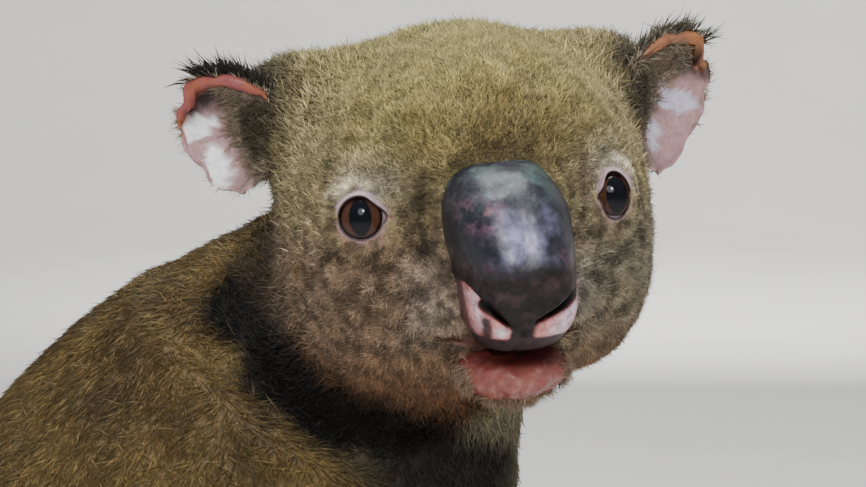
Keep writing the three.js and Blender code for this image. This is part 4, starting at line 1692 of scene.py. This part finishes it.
def unit_rows(vectors):
    return vectors / np.maximum(np.linalg.norm(vectors, axis=1, keepdims=True), 1e-9)


def turned_about(vectors, axes, angles):
    """Each vector turned about its own axis."""
    cos, sin = np.cos(angles)[:, None], np.sin(angles)[:, None]
    along = np.sum(vectors * axes, axis=1, keepdims=True)
    return vectors * cos + np.cross(axes, vectors) * sin + axes * along * (1 - cos)


# %% Set the tufts
PATCH_SIZE = 0.003  # width of a tuft's own patch on the unwrap
FLOOR_GAP = 0.2 * MM  # no tuft reaches lower than this
STEEPNESS = (0.05, 1.4)  # least and most angle between a tuft and the skin, in radians
LENGTH_SPREAD = 0.22
STRAY_RISE = 1.8  # how much steeper a stray tuft stands
FLATNESS = 0.55  # a tuft's thickness for its width


def coat_piece(name, ground, weight, count, seed, shape, look, colour_at, lie):
    """One mesh of tufts. `look` holds their length, width, lean, wander, lock size and pull."""
    random = ground.sow(weight, count, seed)
    root, normal = ground.at_spots(ground.places), unit_rows(ground.at_spots(ground.normals))
    way = ground.at_spots(lie)
    way = unit_rows(way - normal * np.sum(way * normal, axis=1, keepdims=True))
    swirl = waves(root, look["swirl_size"] * MM)
    way = turned_about(way, normal, swirl * look["swirl"] + random.normal(0, look["wander"], count))
    spread = np.exp(random.normal(0, LENGTH_SPREAD, count))
    length = look["length"] * MM * spread * ground.at_spots(look["longer"])
    proud = np.where(random.random(count) < look["stray_share"], STRAY_RISE, 1.0)
    steep = np.radians(look["lean"]) * proud * (0.75 + 0.5 * random.random(count))
    steep = np.clip(steep, *STEEPNESS)
    rise = way * np.cos(steep)[:, None] + normal * np.sin(steep)[:, None]
    settle = steep * look["settle"]
    flat = way * np.cos(settle)[:, None] + normal * np.sin(settle)[:, None]
    seeds = root[random.choice(count, max(count // look["per_lock"], 1), replace=False)]
    tree = KDTree(len(seeds))
    for number, place in enumerate(seeds):
        tree.insert(place, number)
    tree.balance()
    home = np.array([tree.find(place)[1] for place in root])
    drawn = (seeds[home] - root) * look["pull"]
    middle_at = rise * (length * 0.5)[:, None] + drawn * 0.3
    tip_at = (rise * 0.5 + flat * 0.5) * length[:, None] + drawn
    side_way = turned_about(unit_rows(np.cross(normal, rise)), rise, random.normal(0, 0.6, count))
    thick_way = np.cross(rise, side_way)
    width = look["width"] * MM * (0.7 + 0.6 * random.random(count))
    width = width * np.sqrt(ground.at_spots(look["longer"]))
    spike, faces = shape
    along = spike[:, 2]
    spine = np.where(
        (along < 0.5)[None, :, None],
        middle_at[:, None] * (along * 2)[None, :, None],
        middle_at[:, None] + (tip_at - middle_at)[:, None] * (along * 2 - 1)[None, :, None],
    )
    sink = 0.35 * width[:, None] * normal
    places = (
        (root - sink)[:, None] + spine
        + side_way[:, None] * spike[None, :, :1] * width[:, None, None]
        + thick_way[:, None] * (spike[None, :, 1:2] * FLATNESS) * width[:, None, None]
    )
    places[..., 2] = np.maximum(places[..., 2], FLOOR_GAP)
    base = colour_at(root, ground) * np.exp(random.normal(0, look["uneven"], count))[:, None]
    lock_shade = np.random.default_rng(seed + 1).normal(1, look["lock_uneven"], len(seeds))[home]
    base = base * np.clip(lock_shade, 0.5, 1.6)[:, None]
    ramp = np.interp(along, [0, 0.5, 1], look["banding"])
    tints = np.clip(base[:, None] * ramp[None, :, None], 0.001, 1)
    piece = joined_tufts(name, places, faces, tints, ground.uv_at_spots(), spike)
    piece.data.materials.append(wool)
    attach(piece, "root")


def joined_tufts(name, places, faces, tints, addresses, spike):
    """Copies of one spike as one mesh, with their colours and their patches on the unwrap."""
    count, corners = places.shape[:2]
    index = (faces[None] + (np.arange(count) * corners)[:, None, None]).reshape(-1, 3)
    mesh = bpy.data.meshes.new(name)
    mesh.vertices.add(count * corners)
    mesh.vertices.foreach_set("co", places.astype(np.float32).ravel())
    mesh.loops.add(index.size)
    mesh.loops.foreach_set("vertex_index", index.astype(np.int32).ravel())
    mesh.polygons.add(len(index))
    mesh.polygons.foreach_set("loop_start", np.arange(0, index.size, 3, dtype=np.int32))
    mesh.update(calc_edges=True)
    keep_colour(mesh, "tint", tints.reshape(-1, 3))
    patch = np.column_stack([spike[:, 0], spike[:, 2] - 0.5]) * PATCH_SIZE
    uv = (np.clip(addresses, PATCH_SIZE, 1 - PATCH_SIZE)[:, None] + patch[None]).reshape(-1, 2)
    layer = mesh.uv_layers.new(name="OFBake")
    layer.data.foreach_set("uv", uv[index.ravel()].astype(np.float32).ravel())
    mesh.shade_smooth()
    mesh.validate()
    piece = bpy.data.objects.new(name, mesh)
    bpy.context.scene.collection.objects.link(piece)
    return piece


# %% [markdown]
# ## The coat's finish
# Wool scatters light and has next to no shine. The colour comes from each tuft, dark at its
# root and pale at its tip, as in fur whose hairs are banded, and a fine grain breaks it up.


# %% Finish of the coat
def wool_finish():
    wool = Bench("wool", roughness=0.9, sheen_weight=0.06, sheen_roughness=0.5)
    wool.shader.inputs["Specular IOR Level"].default_value = 0.12
    grain = wool.noise(1.3, 3, 0.7).between(0.3, 0.7, 0.80, 1.18)
    strands = wool.noise(0.35, 2, 0.6)
    colour = wool.shaded(wool.own("tint"), grain)
    return wool.finish(base_color=colour, normal=wool.bump(strands, 0.12, 0.5))


wool = wool_finish()

# %% Coat of the head
ground = Ground(skin.data, "unwrap")
at = to_head(skin_places)
on_head = on_parts(skin_kinds, "head")
furry = np.clip(1 - bare * 1.4, 0, 1)
face_share = soft_step(34, 14, at[:, 1]) * soft_step(0.4, 0.8, on_head)
from_nose = np.linalg.norm((at - (MUZZLE_SHIFT, -14, -11)) / (15, 30, 23), axis=1)
inside_nose = soft_step(1.5, 0.5, from_nose)
inside_lip = soft_step(0.5, -0.5, (np.linalg.norm((at - LIP_MIDDLE) / (13.5, 14, 7), axis=1) - 1) * 4)
inside_nose = inside_nose * (np.abs(at[:, 0] - MUZZLE_SHIFT) < 14)
furry = furry * (1 - inside_nose) * (1 - inside_lip)
near_nose = np.linalg.norm((at - (MUZZLE_SHIFT, -20, -11)) / (20, 30, 28), axis=1)
short = 0.5 + 0.5 * soft_step(8, 16, from_eyes(at)) * soft_step(0.95, 1.3, near_nose)
crest = 1 + 0.5 * soft_step(15, 45, at[:, 1]) + 0.25 * soft_step(-30, -50, at[:, 2])
for side in SIDES:  # the coat also lies away from the eyes
    away = at - EYES[side]
    pull = soft_step(15, 8, np.linalg.norm(away, axis=1))[:, None]
    skin_lie = skin_lie * (1 - pull) + unit_rows(away) @ HEAD_AXES.T * pull
HEAD_LOOK = {
    "length": 2.5, "width": 0.36, "lean": 30, "settle": 0.6, "wander": 0.75, "swirl": 1.1,
    "swirl_size": 6, "stray_share": 0.12, "per_lock": 8, "pull": 0.5, "uneven": 0.26,
    "lock_uneven": 0.22, "banding": (0.66, 0.95, 1.22), "longer": short * crest,
}


def coat_colour(places, ground):
    kinds = ground.at_spots(skin_kinds)
    return markings(places, kinds, ground.at_spots(skin_side))


FACE_TUFTS, SKULL_TUFTS = 48000, 48000
for number in range(3):
    coat_piece(
        f"face_coat_{number + 1}", ground, furry * face_share, FACE_TUFTS, 11 + number, TUFT,
        HEAD_LOOK, coat_colour, skin_lie,
    )
skull_share = (1 - face_share) * soft_step(0.3, 0.6, on_head)
coat_piece(
    "skull_coat", ground, furry * skull_share, SKULL_TUFTS, 21, TUFT,
    {**HEAD_LOOK, "length": 3.1, "width": 0.48}, coat_colour, skin_lie,
)
print("tufts on the head:", FACE_TUFTS * 3 + SKULL_TUFTS)

# %% Coat of the body
paws = on_parts(skin_kinds, "hand", "foot")
off_head = soft_step(0.75, 0.35, on_head)
under_feet = soft_step(1.5, 6, skin_places[:, 2] / MM)
depth_here = skin_kinds @ np.array([COATS[kind][0] for kind in PARTS])
BODY_LOOK = {
    "length": 6.5, "width": 0.85, "lean": 17, "settle": 0.5, "wander": 0.6, "swirl": 1.0,
    "swirl_size": 12, "stray_share": 0.06, "per_lock": 8, "pull": 0.5, "uneven": 0.12,
    "lock_uneven": 0.08, "banding": (0.78, 1.0, 1.08), "longer": 0.3 + 0.7 * depth_here / 2.2,
}
BANDS = {  # from and up to these heights in m, and the number of tufts
    "shoulder": (0.24, 9, 48000), "waist": (0.17, 0.24, 38000),
    "hip": (0.09, 0.17, 34000), "seat": (-9, 0.09, 32000),
}
for number, (band, (low, high, count)) in enumerate(BANDS.items()):
    share = (skin_places[:, 2] > low) & (skin_places[:, 2] <= high)
    sparse = off_head * (0.15 + 0.85 * under_feet) * share * (1 + 1.5 * paws)
    coat_piece(
        f"{band}_coat", ground, sparse, count, 31 + number, TUFT, BODY_LOOK,
        coat_colour, skin_lie,
    )
print("tufts on the body:", sum(count for _, _, count in BANDS.values()))

# %% [markdown]
# ## Fur on the ears and hairs on the chin
# Behind, an ear is furred right up to its swollen edge, and inside it dark fur still covers
# the half towards the crown. What is left of the long fringe stands up from the edge as black
# singed tufts. These grow on the ears' own meshes, with the same function as the rest.

# %% Ear fur
SINGED = {"right": srgb(30, 26, 20), "left": srgb(70, 66, 54)}
SINGED_TUFTS = {"right": 1500, "left": 700}
EAR_TUFTS = 9000
SINGED_WITHIN = {"right": 0.25, "left": 0.6}  # how far outwards they grow, as a cosine
EAR_FUR = srgb(158, 142, 122)
EAR_FUR_REACH = {"right": 3.0, "left": 1.0}  # how far outwards the inside is furred, in mm
UNDER_ROLL = {"right": 2.0, "left": 11.0}  # how much further it reaches under the roll
EAR_LOOK = {
    "length": 4.2, "width": 0.42, "lean": 20, "settle": 0.5, "wander": 0.8, "swirl": 0.8,
    "swirl_size": 6, "stray_share": 0.12, "per_lock": 6, "pull": 0.4, "uneven": 0.3,
    "lock_uneven": 0.2, "banding": (0.6, 0.95, 1.15),
}
SINGED_LOOK = {
    **EAR_LOOK, "length": 8.0, "width": 0.42, "lean": 24, "wander": 0.4, "pull": 0.75, "per_lock": 9,
}


def plain_colour(colour):
    """The same colour at every root, as a function like the coat's."""
    return lambda places, ground: np.tile(colour, (len(places), 1))


for side in SIDES:
    ground = Ground(ears[side].data, "unwrap")
    own = head_to_ear(to_head(ground.places), side)
    x, z, angle, share, back, on_roll = ear_map(own, side)
    radial = back * np.column_stack([np.cos(angle), np.full(len(own), 0.5), np.sin(angle)]).T
    outwards = (radial.T + np.outer(1 - back, (0.8, 0, 0)) + (0, 0, 0.5)) * (SIDES[side], 1, 1)
    lie = unit_rows(outwards) @ ear_axes(side).T @ HEAD_AXES.T
    even = {"longer": np.ones(len(own))}
    furred_to = EAR_FUR_REACH[side] - 0.35 * np.abs(z + 1) + 3 * (fractal(own, 5, 31) - 0.5)
    furred_to = furred_to + UNDER_ROLL[side] * soft_step(4, 12, z)
    inside = (1 - back) * soft_step(furred_to, furred_to - 4, x) * (on_roll < 0.1)
    ragged_edge = soft_step(0.78, 0.9, share) * soft_step(0.35, 0.0, np.sin(angle))
    behind = back * soft_step(0.2, 0.45, share) * (1 - 0.9 * ragged_edge)
    reach = SINGED_WITHIN[side]
    top = soft_step(0.3, 0.7, np.sin(angle)) * soft_step(reach, reach - 0.5, np.cos(angle))
    fringe = back * soft_step(0.7, 0.9, share) * top
    coat_piece(
        f"ear_{side}_fur", ground, inside * 1.3 + behind, EAR_TUFTS, 51, TUFT, {**EAR_LOOK, **even},
        plain_colour(EAR_FUR), lie,
    )
    coat_piece(
        f"ear_{side}_singed_tufts", ground, fringe, SINGED_TUFTS[side], 52, LONG_TUFT,
        {**SINGED_LOOK, **even}, plain_colour(SINGED[side]), lie,
    )

# %% Hairs on the chin
CHIN_HAIR = srgb(150, 126, 104)
CHIN_HAIRS = 2600
unwrap(chin)
ground = Ground(chin.data, "unwrap")
at_chin = to_head(ground.places) - LIP_MIDDLE
rim = soft_step(0.72, 0.95, np.abs(at_chin[:, 0]) / LIP_SIZE[0]) + soft_step(-4.5, -7.5, at_chin[:, 2])
rim = np.clip(rim, 0, 1) * soft_step(4, 1, at_chin[:, 2]) * soft_step(6, 2, at_chin[:, 1])
away = unit_rows(np.column_stack([at_chin[:, 0] * 0.6, np.full(len(at_chin), -1.5), at_chin[:, 2] - 4]))
CHIN_LOOK = {
    **HEAD_LOOK, "length": 3.2, "width": 0.26, "lean": 32, "longer": np.ones(len(at_chin)),
}
coat_piece(
    "chin_hairs", ground, rim, CHIN_HAIRS, 61, TUFT, CHIN_LOOK,
    plain_colour(CHIN_HAIR), away @ HEAD_AXES.T,
)
print("ear and chin hairs done")
